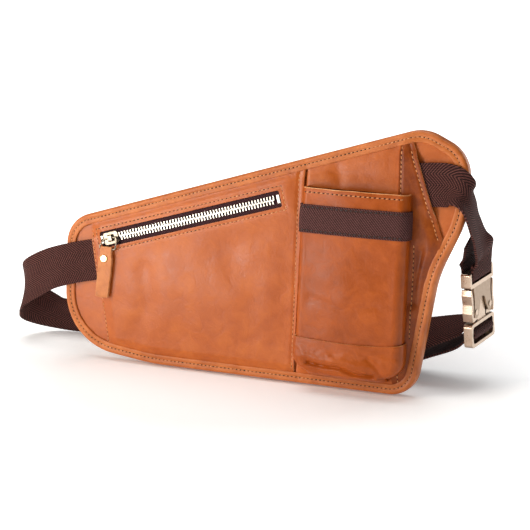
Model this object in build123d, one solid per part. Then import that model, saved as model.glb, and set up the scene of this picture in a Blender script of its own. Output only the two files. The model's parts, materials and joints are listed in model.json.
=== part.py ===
from build123d import *
import math
import os

# A leather waist pack with webbing straps and a metal buckle.
# X runs along the pack, -Y is its front, +Z is up, millimetres.
# The pack leans back on its own strap. Its panels are built flat, in a panel frame:
# u along the pack, v up its front, n out of its front. n = 0 is the base panel's face.

# ---------------------------------------------------------------- driving dimensions
LEAN = 6.0  # degrees that the pack leans back
SEAT = Vector(27.3, -25.8, 1.65)  # the panel frame's origin, from the part's origin

LEATHER = 1.4  # one thickness of leather
WEBBING = 1.6  # thickness of the strap
STRAP_WIDTH = 31.0
TUCK = 3.4  # height of the slots in the panel walls where the straps go under
GAP = 0.1  # between sheets that lie on each other

# Binding round the edge
BINDING_LEG = 8.0
BINDING_SHEET = 1.0
STACK_INSET = 1.1  # the stack's edge, inside the binding's outer face
PANEL_INSET = 8.3  # front panels end just inside the binding's leg

# The stack behind the front panels
FOAM = 4.0
BASE_BACK = -LEATHER
FOAM_BACK = BASE_BACK - FOAM
BACK_PANEL_BACK = FOAM_BACK - LEATHER
SWELL = 1.2  # how far the padded back stands out behind its bound edge
SWELL_INSET = 10.5
SWELL_BACK = BACK_PANEL_BACK - SWELL

# Outline of the pack: corners and their radii, from the left top, clockwise
OUTLINE = [
    (-156.5, 102.0, 24.0),
    (119.0, 190.0, 28.0),
    (152.8, 174.0, 26.0),
    (152.3, 128.8, 65.0),
    (134.2, 86.9, 90.0),
    (121.6, -0.7, 21.0),
    (-82.0, -0.7, 200.0),
    (-156.5, 8.5, 45.0),
]

# Seams between the front panels, each as two points that it passes through
LEFT_SEAM = ((-136.4, 97.6), (-120.7, 12.3))
MID_SEAM_U = 33.7
SIDE_SEAM = ((101.5, 175.1), (106.8, 9.0))
STRAP_SEAM = ((113.7, 176.0), (136.6, 113.9))
BELOW, ABOVE = -20.0, 210.0  # past the pack's bottom and top

FRONT_TOP = 5.0  # n of the zip panel's and side panel's faces
MID_TOP = 4.2

# Front zip: a size 5 metal zip in a slanted window
ZIP_CENTRE = (-54.5, 111.0)
ZIP_ANGLE = 17.0
ZIP_WINDOW = (148.6, 10.4)
ZIP_TAPE = (153.0, 10.6)
ZIP_PITCH = 2.4
ZIP_TEETH = 58
ZIP_REST = -65.0  # slider's place along the zip when it is closed

# Hidden zip: a size 3 metal zip behind the pocket's top edge
HIDDEN_CENTRE = (69.2, 139.5)
HIDDEN_WINDOW = (62.4, 6.4)
HIDDEN_TAPE = (63.0, 9.0)
HIDDEN_PITCH = 2.0
HIDDEN_TEETH = 29
HIDDEN_REST = 24.0

# Phone pocket
POCKET_LEFT, POCKET_RIGHT = 36.0, 114.5
POCKET_BOTTOM, POCKET_TOP = 23.0, 143.7
POCKET_FRONT = 16.5
POCKET_RADIUS = 3.0
BOOT_LOW, BOOT_HIGH = 9.0, 37.0
BOOT_RADIUS = 13.0
BAND_LOW, BAND_HIGH = 112.0, 132.0
BAND_SHEET = 1.2

# Pull tab of the front zip
RING_N = 6.9
RING_WIRE = 0.6
RING_TOP_HALF = 6.0
RING_BAR = (-119.5, 83.6)
RING_BAR_HALF = 6.8
TAB_HALF = LEATHER
TAB_FOOT = (-122.3, 47.3)
TAB_WIDTH, TAB_NECK = 10.6, 9.0
RIVET = (-120.9, 76.5)
RIVET_SHANK, RIVET_HEAD = 1.2, 2.6

# Buckle, in its own frame: x across, y up from the male's foot, z out of its face
BUCKLE_FOOT = (155.4, 48.8, 30.9)
BUCKLE_ACROSS = Vector(0.17, 0.98, 0.05)
BUCKLE_UP = Vector(-0.055, 0.0, 1.0)
BUCKLE_HALF = 18.7
BUCKLE_THICK = 7.6
BUCKLE_TOP = 55.0
SHOULDER = 44.0  # where the plates meet the female's solid end
PLATE = 1.2
SLOT = (32.6, 47.0, 50.4)  # width, low edge, high edge
FEMALE_BAR = 4.8  # thickness of the bar above the slot
MALE_HEIGHT = 17.5
MALE_THICK = 6.4
MALE_WINDOW = (32.4, 12.5, 8.75)  # width, height, centre
BAR_Y, BAR_RADIUS = 8.7, 1.5
TONGUE_THICK = 4.4
PIVOT = (11.2, 25.5)
PIN, PIN_CLEARANCE, PIN_HEAD = 1.2, 0.05, 2.0
PIN_HEAD_HEIGHT = 0.5
SPRING_RADII = (1.35, 2.3)
SPRING_HALF = 0.9

PANEL_FRAME = Plane(
    origin=SEAT,
    x_dir=(1, 0, 0),
    z_dir=(0, -math.cos(math.radians(LEAN)), math.sin(math.radians(LEAN))),
)
BUCKLE_FRAME = Plane(
    origin=SEAT + Vector(*BUCKLE_FOOT),
    x_dir=BUCKLE_ACROSS,
    z_dir=BUCKLE_ACROSS.cross(BUCKLE_UP),
)


# ---------------------------------------------------------------- helpers
def write(name, shape):
    """Write one node, which may hold several separate solids."""
    solids = shape.solids()
    whole = solids[0] if len(solids) == 1 else Compound(children=list(solids))
    export_step(whole, f"parts/{name}.step")


def write_panel(name, shape):
    """Write a node that was built in the panel frame."""
    write(name, PANEL_FRAME.location * shape)


def write_buckle(name, shape):
    """Write a node that was built in the buckle's frame."""
    write(name, BUCKLE_FRAME.location * shape)


def slab(sketch, low, high):
    """A sketch made solid between two heights."""
    return extrude(Plane.XY.offset(low) * sketch, amount=high - low)


def block(x, y, z):
    """A box from its (low, high) in x, y and z."""
    size = [high - low for low, high in (x, y, z)]
    middle = [(high + low) / 2 for low, high in (x, y, z)]
    return Pos(*middle) * Box(*size)


def polygon(*points):
    """A filled polygon, whichever way round its corners go."""
    return make_face(Polyline(*points, close=True))


def pack_outline(inset):
    """The pack's outline, drawn in by inset."""
    corners = [(u, v) for u, v, radius in OUTLINE]
    radii = [radius for u, v, radius in OUTLINE]
    edge = make_face(FilletPolyline(*corners, radius=radii, close=True))
    return offset(edge, amount=-inset) if inset else edge


def seam_u(seam, v):
    """Where a seam's line is at height v."""
    (u0, v0), (u1, v1) = seam
    return u0 + (u1 - u0) * (v - v0) / (v1 - v0)


def tray(shape, top):
    """A panel with its face at top and a wall one leather thick down to the base panel."""
    return slab(shape, 0, top) - slab(offset(shape, amount=-LEATHER), 0, top - LEATHER)


def on_zip(centre, angle, shape):
    """Put a shape built along a zip in its place in the panel frame."""
    return Location((centre[0], centre[1], 0), (0, 0, angle)) * shape


def smooth(stations, steps):
    """Points and width directions on a smooth curve through the stations."""
    result = []
    for i in range(len(stations) - 1):
        before, start = stations[max(i - 1, 0)], stations[i]
        end, after = stations[i + 1], stations[min(i + 2, len(stations) - 1)]
        for step in range(steps):
            t = step / steps
            weights = (
                (-t + 2 * t**2 - t**3) / 2,
                (2 - 5 * t**2 + 3 * t**3) / 2,
                (t + 4 * t**2 - 3 * t**3) / 2,
                (-(t**2) + t**3) / 2,
            )
            four = (before, start, end, after)
            result.append([sum((p[k] * w for p, w in zip(four, weights)), Vector()) for k in (0, 1)])
    result.append(list(stations[-1]))
    return result


def strap(stations, steps=4):
    """A flat strap through stations, each a point and the direction of the strap's width."""
    line = smooth(stations, steps)
    corners = [[], [], [], []]
    for i, (point, across) in enumerate(line):
        along = (line[min(i + 1, len(line) - 1)][0] - line[max(i - 1, 0)][0]).normalized()
        side = (across - along * across.dot(along)).normalized() * (STRAP_WIDTH / 2)
        out = along.cross(side).normalized() * (WEBBING / 2)
        for k, corner in enumerate((side + out, side - out, -side - out, -side + out)):
            corners[k].append(point + corner)
    edges = [Spline(*row) for row in corners]
    faces = [Face.make_surface_from_curves(edges[k], edges[(k + 1) % 4]) for k in range(4)]
    faces += [polygon(*[row[end] for row in corners]) for end in (0, -1)]
    return Solid(Shell([shape.face() for shape in faces]))


def on_panel(u, v, n):
    """A panel-frame point as a point of the part."""
    return PANEL_FRAME.from_local_coords(Vector(u, v, n))


def from_seat(x, y, z):
    """A point given from the panel frame's origin, along the part's axes."""
    return SEAT + Vector(x, y, z)


def on_buckle(x, y, z):
    """A buckle-frame point as a point of the part."""
    return BUCKLE_FRAME.from_local_coords(Vector(x, y, z))


# ---------------------------------------------------------------- the padded back and its binding
def make_stack():
    """Base panel, foam and back panel, with the binding folded round their edge."""
    sheet = pack_outline(STACK_INSET)
    foam_swell = slab(pack_outline(SWELL_INSET + LEATHER), FOAM_BACK - SWELL, FOAM_BACK)
    leather_swell = slab(pack_outline(SWELL_INSET), SWELL_BACK, BACK_PANEL_BACK)
    write_panel("base_panel", slab(sheet, BASE_BACK, 0))
    write_panel("padding", slab(sheet, FOAM_BACK, BASE_BACK) + foam_swell)
    write_panel("back_panel", slab(sheet, BACK_PANEL_BACK, FOAM_BACK) + leather_swell - foam_swell)
    back, front = BACK_PANEL_BACK - BINDING_SHEET, BINDING_SHEET
    strip = slab(pack_outline(0), back, front) - slab(pack_outline(BINDING_LEG), back, front)
    write_panel("edge_binding", strip - slab(sheet, BACK_PANEL_BACK, 0))


# ---------------------------------------------------------------- front panels
def zip_panel_shape():
    """The left front panel's outline."""
    left_low, left_high = (seam_u(LEFT_SEAM, v) for v in (BELOW, ABOVE))
    right = MID_SEAM_U - GAP
    return pack_outline(PANEL_INSET) & polygon(
        (left_low, BELOW), (left_high, ABOVE), (right, ABOVE), (right, BELOW)
    )


def make_front_panels():
    """Zip panel with its lining, mid panel and side panel."""
    window = slab(RectangleRounded(*ZIP_WINDOW, 1.2), 0, FRONT_TOP)
    left_slot = slab(polygon((-150, 53), (-150, 92), (-118, 92), (-118, 53)), 0, TUCK)
    zip_shape = zip_panel_shape()
    zip_panel = tray(zip_shape, FRONT_TOP) - on_zip(ZIP_CENTRE, ZIP_ANGLE, window) - left_slot
    write_panel("zip_panel", zip_panel)
    write_panel("front_lining", slab(offset(zip_shape, amount=-BINDING_LEG), GAP, GAP + 0.5))

    side_low, side_high = (seam_u(SIDE_SEAM, v) for v in (BELOW, ABOVE))
    mid_left = MID_SEAM_U + GAP
    mid_shape = pack_outline(PANEL_INSET) & polygon(
        (mid_left, BELOW), (mid_left, ABOVE), (side_high - GAP, ABOVE), (side_low - GAP, BELOW)
    )
    hidden_window = Pos(*HIDDEN_CENTRE) * slab(RectangleRounded(*HIDDEN_WINDOW, 1.0), 0, MID_TOP)
    write_panel("mid_panel", tray(mid_shape, MID_TOP) - hidden_window)

    slant_low, slant_high = 60.0, 196.0
    side_shape = pack_outline(PANEL_INSET) & polygon(
        (side_high, ABOVE),
        (seam_u(STRAP_SEAM, slant_high), slant_high),
        (seam_u(STRAP_SEAM, slant_low), slant_low),
        (seam_u(STRAP_SEAM, slant_low), BELOW),
        (side_low, BELOW),
    )
    right_slot = slab(polygon((112, 172), (140, 176), (140, 130), (112, 130)), 0, TUCK)
    write_panel("side_panel", tray(side_shape, FRONT_TOP) - right_slot)


# ---------------------------------------------------------------- zips
def teeth(count, pitch, reach, low, high, tape_low, tape_high):
    """Upper and lower chains of teeth, each tooth slit for its tape."""
    length, lap, tape_edge = pitch * 0.4, 0.44, 0.45
    chains = []
    for side in (1, -1):
        chain = Part()
        for i in range(count):
            start = (i - (count - 1) / 2) * pitch - length / 2 + side * pitch / 4
            low_t, high_t = sorted((-lap * side, reach * side))
            tooth = block((start, start + length), (low_t, high_t), (low, high))
            slit_t = sorted((tape_edge * side, (reach + 1) * side))
            chain += tooth - block((start - 1, start + length + 1), slit_t, (tape_low, tape_high))
        chains.append(chain)
    return chains


def tape(size, low, high, side):
    """One of a zip's two tapes, on the given side of its middle."""
    near, far = sorted((side * 0.5, side * (0.5 + size[1])))
    return block((-size[0] / 2, size[0] / 2), (near, far), (low, high))


def make_front_zip():
    """Tapes, teeth, stops, slider, ring, tab and rivet of the slanted zip."""
    tape_low, tape_high, teeth_low, teeth_high, reach = 3.0, 3.5, 1.9, 4.6, 3.0
    for name, side in (("upper", 1), ("lower", -1)):
        strip = tape(ZIP_TAPE, tape_low, tape_high, side)
        write_panel(f"front_zip_tape_{name}", on_zip(ZIP_CENTRE, ZIP_ANGLE, strip))
    slit = (tape_low - 0.05, tape_high + 0.05)
    chains = teeth(ZIP_TEETH, ZIP_PITCH, reach, teeth_low, teeth_high, *slit)
    for name, chain in zip(("upper", "lower"), chains):
        write_panel(f"front_zip_teeth_{name}", on_zip(ZIP_CENTRE, ZIP_ANGLE, chain))

    stops = Part()
    for side in (1, -1):
        across = sorted((0.7 * side, reach * side))
        stops += block((-73.8, -72.2), across, (teeth_low, teeth_high))
    stops += block((71.4, 73.4), (-reach, reach), (teeth_low, teeth_high))
    stops -= block((-80, 80), (0.45, 4), slit) + block((-80, 80), (-4, -0.45), slit)
    write_panel("front_zip_stops", on_zip(ZIP_CENTRE, ZIP_ANGLE, stops))

    length, width, face, crown_top = 12.0, 9.0, 5.8, 8.4
    flange = (width / 2 - 0.9, width / 2)
    along = (-length / 2 + 2, length / 2 - 2)
    upper = slab(RectangleRounded(length, width, 2), face - 1.0, face)
    lower = slab(RectangleRounded(length, width, 2), 0.9, 1.7)
    for side in (1, -1):
        edge = sorted(side * t for t in flange)
        upper += block(along, edge, (3.7, face - 0.5))
        lower += block(along, edge, (1.3, 2.8))
    crown = block((-1.6, 1.6), (-2.6, 2.6), (face - 0.5, crown_top))
    crown = fillet(crown.edges().filter_by(Axis.X).group_by(Axis.Z)[-1], 1.2)
    upper += crown
    upper -= block((-2, 2), (-1.3, 1.3), (6.05, 7.75))
    slider = Pos(ZIP_REST, 0, 0) * (upper + lower)
    write_panel("front_zip_slider", on_zip(ZIP_CENTRE, ZIP_ANGLE, slider))


def make_pull():
    """The ring through the slider's crown, and the riveted leather tab on it."""
    turn = math.radians(ZIP_ANGLE)
    along = Vector(math.cos(turn), math.sin(turn), 0)
    crown = Vector(*ZIP_CENTRE, RING_N) + along * ZIP_REST
    bar_u, bar_v = RING_BAR
    corners = [
        crown - along * RING_TOP_HALF,
        crown + along * RING_TOP_HALF,
        Vector(bar_u + RING_BAR_HALF, bar_v, RING_N),
        Vector(bar_u - RING_BAR_HALF, bar_v, RING_N),
    ]
    path = Wire(FilletPolyline(*corners, radius=1.5, close=True).edges())
    section = Plane(origin=path @ 0, z_dir=path % 0) * Circle(RING_WIRE)
    write_panel("front_pull_ring", sweep(section, path))

    foot_u, foot_v = TAB_FOOT
    neck_v, top_v = 79.0, bar_v + TAB_HALF
    tab = polygon(
        (foot_u - TAB_WIDTH / 2, foot_v),
        (bar_u - TAB_WIDTH / 2 - 0.4, neck_v - 3),
        (bar_u - TAB_NECK / 2, neck_v),
        (bar_u - TAB_NECK / 2, top_v),
        (bar_u + TAB_NECK / 2, top_v),
        (bar_u + TAB_NECK / 2, neck_v),
        (bar_u + TAB_WIDTH / 2 - 0.4, neck_v - 3),
        (foot_u + TAB_WIDTH / 2, foot_v),
    )
    tab = slab(tab, RING_N - TAB_HALF, RING_N + TAB_HALF)
    tab = fillet(tab.edges().filter_by(Axis.X).group_by(Axis.Y)[-1], TAB_HALF - 0.02)
    tab -= Pos(bar_u, bar_v, RING_N) * Rot(0, 90, 0) * Cylinder(RING_WIRE + 0.1, 4 * TAB_WIDTH)
    tab -= Pos(*RIVET, RING_N) * Cylinder(RIVET_SHANK, 10)
    write_panel("front_pull_tab", tab)

    back, face = RING_N - TAB_HALF, RING_N + TAB_HALF
    shank = slab(Circle(RIVET_SHANK), back, face)
    shank += slab(Circle(RIVET_HEAD - 0.4), back - 0.4, back)
    head = slab(Circle(RIVET_HEAD), face, face + 0.8)
    write_panel("pull_rivet", Pos(*RIVET) * (shank + head))


def make_hidden_zip():
    """Tapes, teeth, slider and puller of the zip behind the pocket's top edge."""
    tape_low, tape_high, teeth_low, teeth_high, reach = 2.3, 2.7, 1.5, 3.6, 2.2
    strips = tape(HIDDEN_TAPE, tape_low, tape_high, 1) + tape(HIDDEN_TAPE, tape_low, tape_high, -1)
    write_panel("hidden_zip_tapes", Pos(*HIDDEN_CENTRE) * strips)
    slit = (tape_low - 0.05, tape_high + 0.05)
    chains = teeth(HIDDEN_TEETH, HIDDEN_PITCH, reach, teeth_low, teeth_high, *slit)
    write_panel("hidden_zip_teeth", Pos(*HIDDEN_CENTRE) * (chains[0] + chains[1]))

    face, crown_top, axis_n = 4.5, 6.6, 5.4
    slider = slab(RectangleRounded(9.0, 5.6, 1.4), face - 0.7, face)
    slider += slab(RectangleRounded(9.0, 5.6, 1.4), 0.8, 1.3)
    slider += block((-1.0, 1.0), (-2.1, 2.1), (face - 0.3, crown_top))
    slider -= block((-2, 2), (-0.9, 0.9), (4.75, 6.05))
    place = Pos(HIDDEN_CENTRE[0] + HIDDEN_REST, HIDDEN_CENTRE[1], 0)
    write_panel("hidden_zip_slider", place * slider)

    wire = 0.4
    puller = block((-2.4, 2.4), (-14.0, wire), (axis_n - wire, axis_n + wire))
    puller = fillet(puller.edges().filter_by(Axis.Z).group_by(Axis.Y)[0], 1.5)
    puller -= block((-1.6, 1.6), (-3.6, -wire), (0, 9))
    write_panel("hidden_zip_puller", place * puller)


# ---------------------------------------------------------------- phone pocket
def make_pocket():
    """The pocket's front and sides, the moulded boot round its foot, and the band across it."""
    side_low, side_high = (seam_u(SIDE_SEAM, v) for v in (BELOW, ABOVE))
    right_of_seam = polygon(
        (side_low - GAP, BELOW), (side_high - GAP, ABOVE), (ABOVE, ABOVE), (ABOVE, BELOW)
    )
    side_step = slab(right_of_seam, 0, FRONT_TOP)
    low = MID_TOP

    outer = block((POCKET_LEFT, POCKET_RIGHT), (POCKET_BOTTOM, POCKET_TOP), (low, POCKET_FRONT))
    outer = fillet(outer.edges().filter_by(Axis.Y).group_by(Axis.Z)[-1], POCKET_RADIUS)
    inside = block(
        (POCKET_LEFT + LEATHER, POCKET_RIGHT - LEATHER), (BELOW, ABOVE), (0, POCKET_FRONT - LEATHER)
    )
    write_panel("pocket_body", outer - inside - side_step)

    skin = LEATHER + GAP
    left, right = POCKET_LEFT - skin, POCKET_RIGHT + skin
    front = POCKET_FRONT + skin
    foot = fillet(Rectangle(right - left, BOOT_HIGH - BOOT_LOW).vertices().group_by(Axis.Y)[0], BOOT_RADIUS)
    foot = Pos((left + right) / 2, (BOOT_LOW + BOOT_HIGH) / 2) * foot
    hollow = fillet(
        Rectangle(right - left - 2 * LEATHER, BOOT_HIGH - BOOT_LOW).vertices().group_by(Axis.Y)[0],
        BOOT_RADIUS - LEATHER,
    )
    hollow = Pos((left + right) / 2, (BOOT_LOW + BOOT_HIGH) / 2 + LEATHER) * hollow
    boot = slab(foot, low, front) - slab(hollow, low, front - LEATHER) - side_step
    write_panel("pocket_boot", boot)

    left, right, front = POCKET_LEFT - GAP, POCKET_RIGHT + GAP, POCKET_FRONT + GAP
    band = block(
        (left - BAND_SHEET, right + BAND_SHEET), (BAND_LOW, BAND_HIGH), (FRONT_TOP + 1, front + BAND_SHEET)
    )
    band -= block((left, right), (BELOW, ABOVE), (0, front))
    write_panel("pocket_band", band)


# ---------------------------------------------------------------- buckle
def mirrored(points):
    """Points of a right half, followed by their mirror images."""
    return points + [(-x, y) for x, y in reversed(points)]


def make_female():
    """The female half: an end with the strap's slot, two plates, two pins and their springs."""
    half = BUCKLE_THICK / 2
    body = block((-BUCKLE_HALF, BUCKLE_HALF), (SHOULDER, BUCKLE_TOP), (-half, half))
    body = fillet(body.edges().filter_by(Axis.Z), 1.5)
    slot_width, slot_low, slot_high = SLOT
    across = (-slot_width / 2, slot_width / 2)
    body -= block(across, (slot_low, slot_high), (-half, half))
    body -= block(across, (slot_high, BUCKLE_TOP), (FEMALE_BAR / 2, half))
    body -= block(across, (slot_high, BUCKLE_TOP), (-half, -FEMALE_BAR / 2))
    write_buckle("buckle_female_body", body)

    plate = polygon(*mirrored([
        (0.8, 34.6), (3.6, 32.6), (5.6, 27.0), (7.8, 22.4), (10.6, 20.8), (13.4, 21.8),
        (14.6, 25.6), (13.6, 29.5), (13.0, 34.0), (13.2, 38.5), (14.0, SHOULDER),
    ])[::-1])
    plate -= Pos(*PIVOT) * Circle(PIN) + Pos(-PIVOT[0], PIVOT[1]) * Circle(PIN)
    write_buckle("buckle_front_plate", slab(plate, half - PLATE, half))
    write_buckle("buckle_back_plate", slab(plate, -half, PLATE - half))

    pins, springs = Part(), Part()
    head = half + PIN_HEAD_HEIGHT
    for side in (1, -1):
        place = Pos(side * PIVOT[0], PIVOT[1])
        pin = slab(Circle(PIN), -head, head)
        pin += slab(Circle(PIN_HEAD), half, head) + slab(Circle(PIN_HEAD), -head, -half)
        pins += place * pin
        ring = Circle(SPRING_RADII[1]) - Circle(SPRING_RADII[0])
        springs += place * slab(ring, -SPRING_HALF, SPRING_HALF)
    write_buckle("lever_pins", pins)
    write_buckle("lever_springs", springs)


def make_levers():
    """Two side levers, thin between the plates and full thickness outside them."""
    half = BUCKLE_THICK / 2
    web = polygon(
        (9.6, 43.0), (17.6, 43.0), (18.7, 39.0), (17.4, 32.0), (18.3, 25.5),
        (17.2, 19.4), (13.0, 18.4), (6.7, 19.2), (7.4, 21.0), (9.6, 24.0),
    )
    ear = polygon(
        (17.0, 43.0), (17.6, 43.0), (18.7, 39.0), (17.4, 32.0), (18.3, 25.5),
        (17.2, 19.4), (15.9, 19.1), (15.9, 26.0), (15.3, 30.0), (15.5, 37.0),
    )
    lever = slab(web, PLATE + 0.1 - half, half - PLATE - 0.1) + slab(ear, -half, half)
    lever -= Pos(*PIVOT) * Cylinder(PIN + PIN_CLEARANCE, 2 * BUCKLE_THICK)
    lever -= Pos(*PIVOT) * Cylinder(SPRING_RADII[1] + 0.3, 2 * SPRING_HALF + 0.4)
    write_buckle("lever_right", lever)
    write_buckle("lever_left", mirror(lever, about=Plane.YZ))


def make_male():
    """The male half: a frame with the strap's bar, and the tongue that goes into the female."""
    half = MALE_THICK / 2
    frame = Pos(0, MALE_HEIGHT / 2) * RectangleRounded(2 * BUCKLE_HALF, MALE_HEIGHT, 2.6)
    width, height, centre = MALE_WINDOW
    frame -= Pos(0, centre) * RectangleRounded(width, height, 2.2)
    male = slab(frame, -half, half)
    male += Pos(0, BAR_Y, 0) * Rot(0, 90, 0) * Cylinder(BAR_RADIUS, width + 2)
    tongue = polygon(*mirrored([(9.4, MALE_HEIGHT - 1), (6.2, 18.2), (6.2, 37.5), (3.4, 41.0)]))
    male += slab(tongue, -TONGUE_THICK / 2, TONGUE_THICK / 2)
    write_buckle("buckle_male", male)


# ---------------------------------------------------------------- straps
def make_straps():
    """The short right strap, the long waist strap, its loop round the male's bar and its tail."""
    panel_up = on_panel(0, 1, 0) - on_panel(0, 0, 0)
    across = BUCKLE_ACROSS.normalized()
    right = [
        (on_panel(117, 150.0, 2.0), panel_up),
        (on_panel(130, 152.0, 2.0), panel_up),
        (on_panel(143, 154.0, 2.4), Vector(0.08, 0.11, 0.99)),
        (on_panel(149.6, 153.4, 3.3), Vector(0.14, 0.24, 0.96)),
        (from_seat(155.8, 13.9, 149.0), Vector(0.12, 0.66, 0.74)),
        (from_seat(158.0, 19.5, 137.0), Vector(0.05, 0.98, 0.17)),
        (from_seat(158.2, 27.5, 125.0), Vector(0.00, 1.00, -0.02)),
        (from_seat(157.4, 41.5, 103.0), Vector(0.10, 0.98, 0.12)),
        (on_buckle(0, 63.0, 4.3), across),
        (on_buckle(0, 57.0, 3.8), across),
        (on_buckle(0, 52.4, 3.6), across),
        (on_buckle(0, 49.3, 2.9), across),
        (on_buckle(0, 48.2, 0.0), across),
        (on_buckle(0, 49.3, -2.9), across),
        (on_buckle(0, 52.4, -3.7), across),
        (on_buckle(0, 57.0, -4.1), across),
        (on_buckle(0, 63.0, -4.6), across),
        (from_seat(149.2, 43.0, 101.5), Vector(0.10, 0.98, 0.12)),
        (from_seat(151.2, 36.5, 112.5), Vector(0.05, 0.98, 0.08)),
    ]
    write("strap_right", strap(right))

    waist = [
        (on_panel(-126, 75.0, 2.0), panel_up + Vector(0.20, 0, 0)),
        (on_panel(-140, 72.0, 2.0), panel_up + Vector(0.20, 0, 0)),
        (on_panel(-157, 67.5, 2.4), panel_up + Vector(0.18, 0, 0)),
        (on_panel(-174, 62.0, 1.2), panel_up + Vector(0.16, 0, 0)),
        (from_seat(-191, 9.5, 54.5), Vector(0.22, -0.02, 0.97)),
        (from_seat(-202.5, 20.0, 44.0), Vector(0.32, 0, 0.95)),
        (from_seat(-203.5, 32.5, 28.0), Vector(0.38, -0.20, 0.90)),
        (from_seat(-192, 44.5, 16.2), Vector(0.15, -0.32, 0.93)),
        (from_seat(-175, 48.5, 13.3), Vector(0, -0.37, 0.93)),
        (from_seat(-150, 50.0, 13.3), Vector(0, -0.34, 0.94)),
        (from_seat(-115, 51.0, 13.6), Vector(0, -0.25, 0.97)),
        (from_seat(-60, 51.5, 14.0), Vector(0, -0.10, 0.99)),
        (from_seat(-5, 50.0, 14.1), Vector(0, 0.10, 0.99)),
        (from_seat(35, 47.5, 15.8), Vector(0, 0.32, 0.95)),
        (from_seat(65, 46.0, 20.0), Vector(0, 0.52, 0.85)),
        (from_seat(93, 46.0, 26.0), Vector(0, 0.72, 0.70)),
        (from_seat(118, 47.5, 33.5), Vector(-0.10, 0.86, 0.48)),
        (from_seat(140, 49.5, 40.6), Vector(0.04, 0.95, 0.28)),
    ]
    write("waist_strap", strap(waist))

    loop = [
        (from_seat(143.0, 49.9, 41.4), Vector(0.04, 0.95, 0.28)),
        (on_buckle(0, 12.6, -5.0), across),
        (on_buckle(0, 12.3, -1.2), across),
        (on_buckle(0, 11.2, 2.0), across),
        (on_buckle(0, 8.7, 3.3), across),
        (on_buckle(0, 6.2, 2.0), across),
        (on_buckle(0, 5.1, -1.2), across),
        (on_buckle(0, 3.9, -5.0), across),
        (from_seat(143.0, 49.8, 29.8), Vector(0.04, 0.98, 0.12)),
    ]
    write("strap_bar_loop", strap(loop))

    tail = [
        (from_seat(140, 49.8, 28.4), Vector(0.04, 0.98, 0.12)),
        (from_seat(118, 50.5, 18.6), Vector(0, 0.99, 0.10)),
        (from_seat(96, 51.5, 8.6), Vector(0, 0.99, 0.06)),
        (from_seat(76, 52.5, 1.6), Vector(0, 1, 0)),
        (from_seat(58, 53.0, -0.5), Vector(0, 1, 0)),
        (from_seat(44, 53.0, -0.65), Vector(0, 1, 0)),
    ]
    write("strap_tail", strap(tail))


def main():
    """Write every node of the pack."""
    os.makedirs("parts", exist_ok=True)
    make_stack()
    make_front_panels()
    make_front_zip()
    make_pull()
    make_hidden_zip()
    make_pocket()
    make_female()
    make_levers()
    make_male()
    make_straps()


main()
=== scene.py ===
"""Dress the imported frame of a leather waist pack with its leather, webbing, thread and metal."""

from __future__ import annotations

import json
import logging
import math
from dataclasses import dataclass
from enum import Enum
from typing import Callable, Sequence

import bmesh
import bpy
from mathutils import Matrix, Vector, noise
from mathutils.kdtree import KDTree


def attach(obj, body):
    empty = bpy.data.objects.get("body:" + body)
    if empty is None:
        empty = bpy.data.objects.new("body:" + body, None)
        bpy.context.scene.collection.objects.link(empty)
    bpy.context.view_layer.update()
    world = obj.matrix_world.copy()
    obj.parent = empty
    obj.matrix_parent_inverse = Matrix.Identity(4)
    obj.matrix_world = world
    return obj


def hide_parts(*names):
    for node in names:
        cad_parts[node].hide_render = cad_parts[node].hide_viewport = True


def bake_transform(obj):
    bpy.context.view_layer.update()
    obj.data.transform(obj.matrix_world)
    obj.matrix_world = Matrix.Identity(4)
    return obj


LOG = logging.getLogger("waist_pack")
MM = 0.001
BACK_MOUNT = (-10.0, 85.0, -8.0)  # the back mount in the panel frame
PIVOT_HEIGHT = 25.5  # the levers' pivots above the buckle frame's origin

Point2 = tuple[float, float]
Height = Callable[[float, float], float]
Station = tuple[Vector, Vector]
Place = Callable[[float, float], Vector]
Plot = Callable[[float, float], Point2]
Line = tuple[Point2, Point2]


# ------------------------------------------------------------------ small maths
def smoothstep(value: float, low: float = 0.0, high: float = 1.0) -> float:
    """Rise smoothly from 0 at low to 1 at high.

    Args:
        value: Where on the ramp.
        low: Start of the ramp.
        high: End of the ramp.

    Returns:
        A share from 0 to 1.
    """
    t = min(max((value - low) / (high - low), 0.0), 1.0)
    return t * t * (3.0 - 2.0 * t)


def bump(distance: float, width: float) -> float:
    """A soft bell, 1 at no distance and near 0 beyond two widths."""
    return math.exp(-((distance / width) ** 2))


def ripple(u: float, v: float, pitch: float, seed: float) -> float:
    """Smooth unevenness from -1 to 1 over a panel, with lumps about a pitch wide."""
    return noise.noise(Vector((u / pitch, v / pitch, seed)))


def lerp(a: float, b: float, share: float) -> float:
    """The value that is a share of the way from a to b."""
    return a + (b - a) * share


def distance_to_run(point: Point2, run: Sequence[Point2]) -> float:
    """Distance from a point to a run of straight lines."""
    p = Vector(point)
    best = math.inf
    for a, b in zip(run, run[1:]):
        start, along = Vector(a), Vector(b) - Vector(a)
        share = min(max((p - start).dot(along) / along.length_squared, 0.0), 1.0)
        best = min(best, (p - start - along * share).length)
    return best


# ------------------------------------------------------------------ frames
@dataclass(frozen=True)
class LocalFrame:
    """A local frame in millimetres, placed in the row frame in metres."""

    origin: Vector
    x: Vector
    y: Vector
    z: Vector

    def at(self, x: float, y: float, z: float) -> Vector:
        """A local point in millimetres as a row point in metres."""
        return self.origin + (self.x * x + self.y * y + self.z * z) * MM

    def matrix(self) -> Matrix:
        """The matrix that takes local millimetres to row metres."""
        columns = [axis * MM for axis in (self.x, self.y, self.z)] + [self.origin]
        rows = [[column[i] for column in columns] for i in range(3)]
        return Matrix(rows + [[0.0, 0.0, 0.0, 1.0]])


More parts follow.
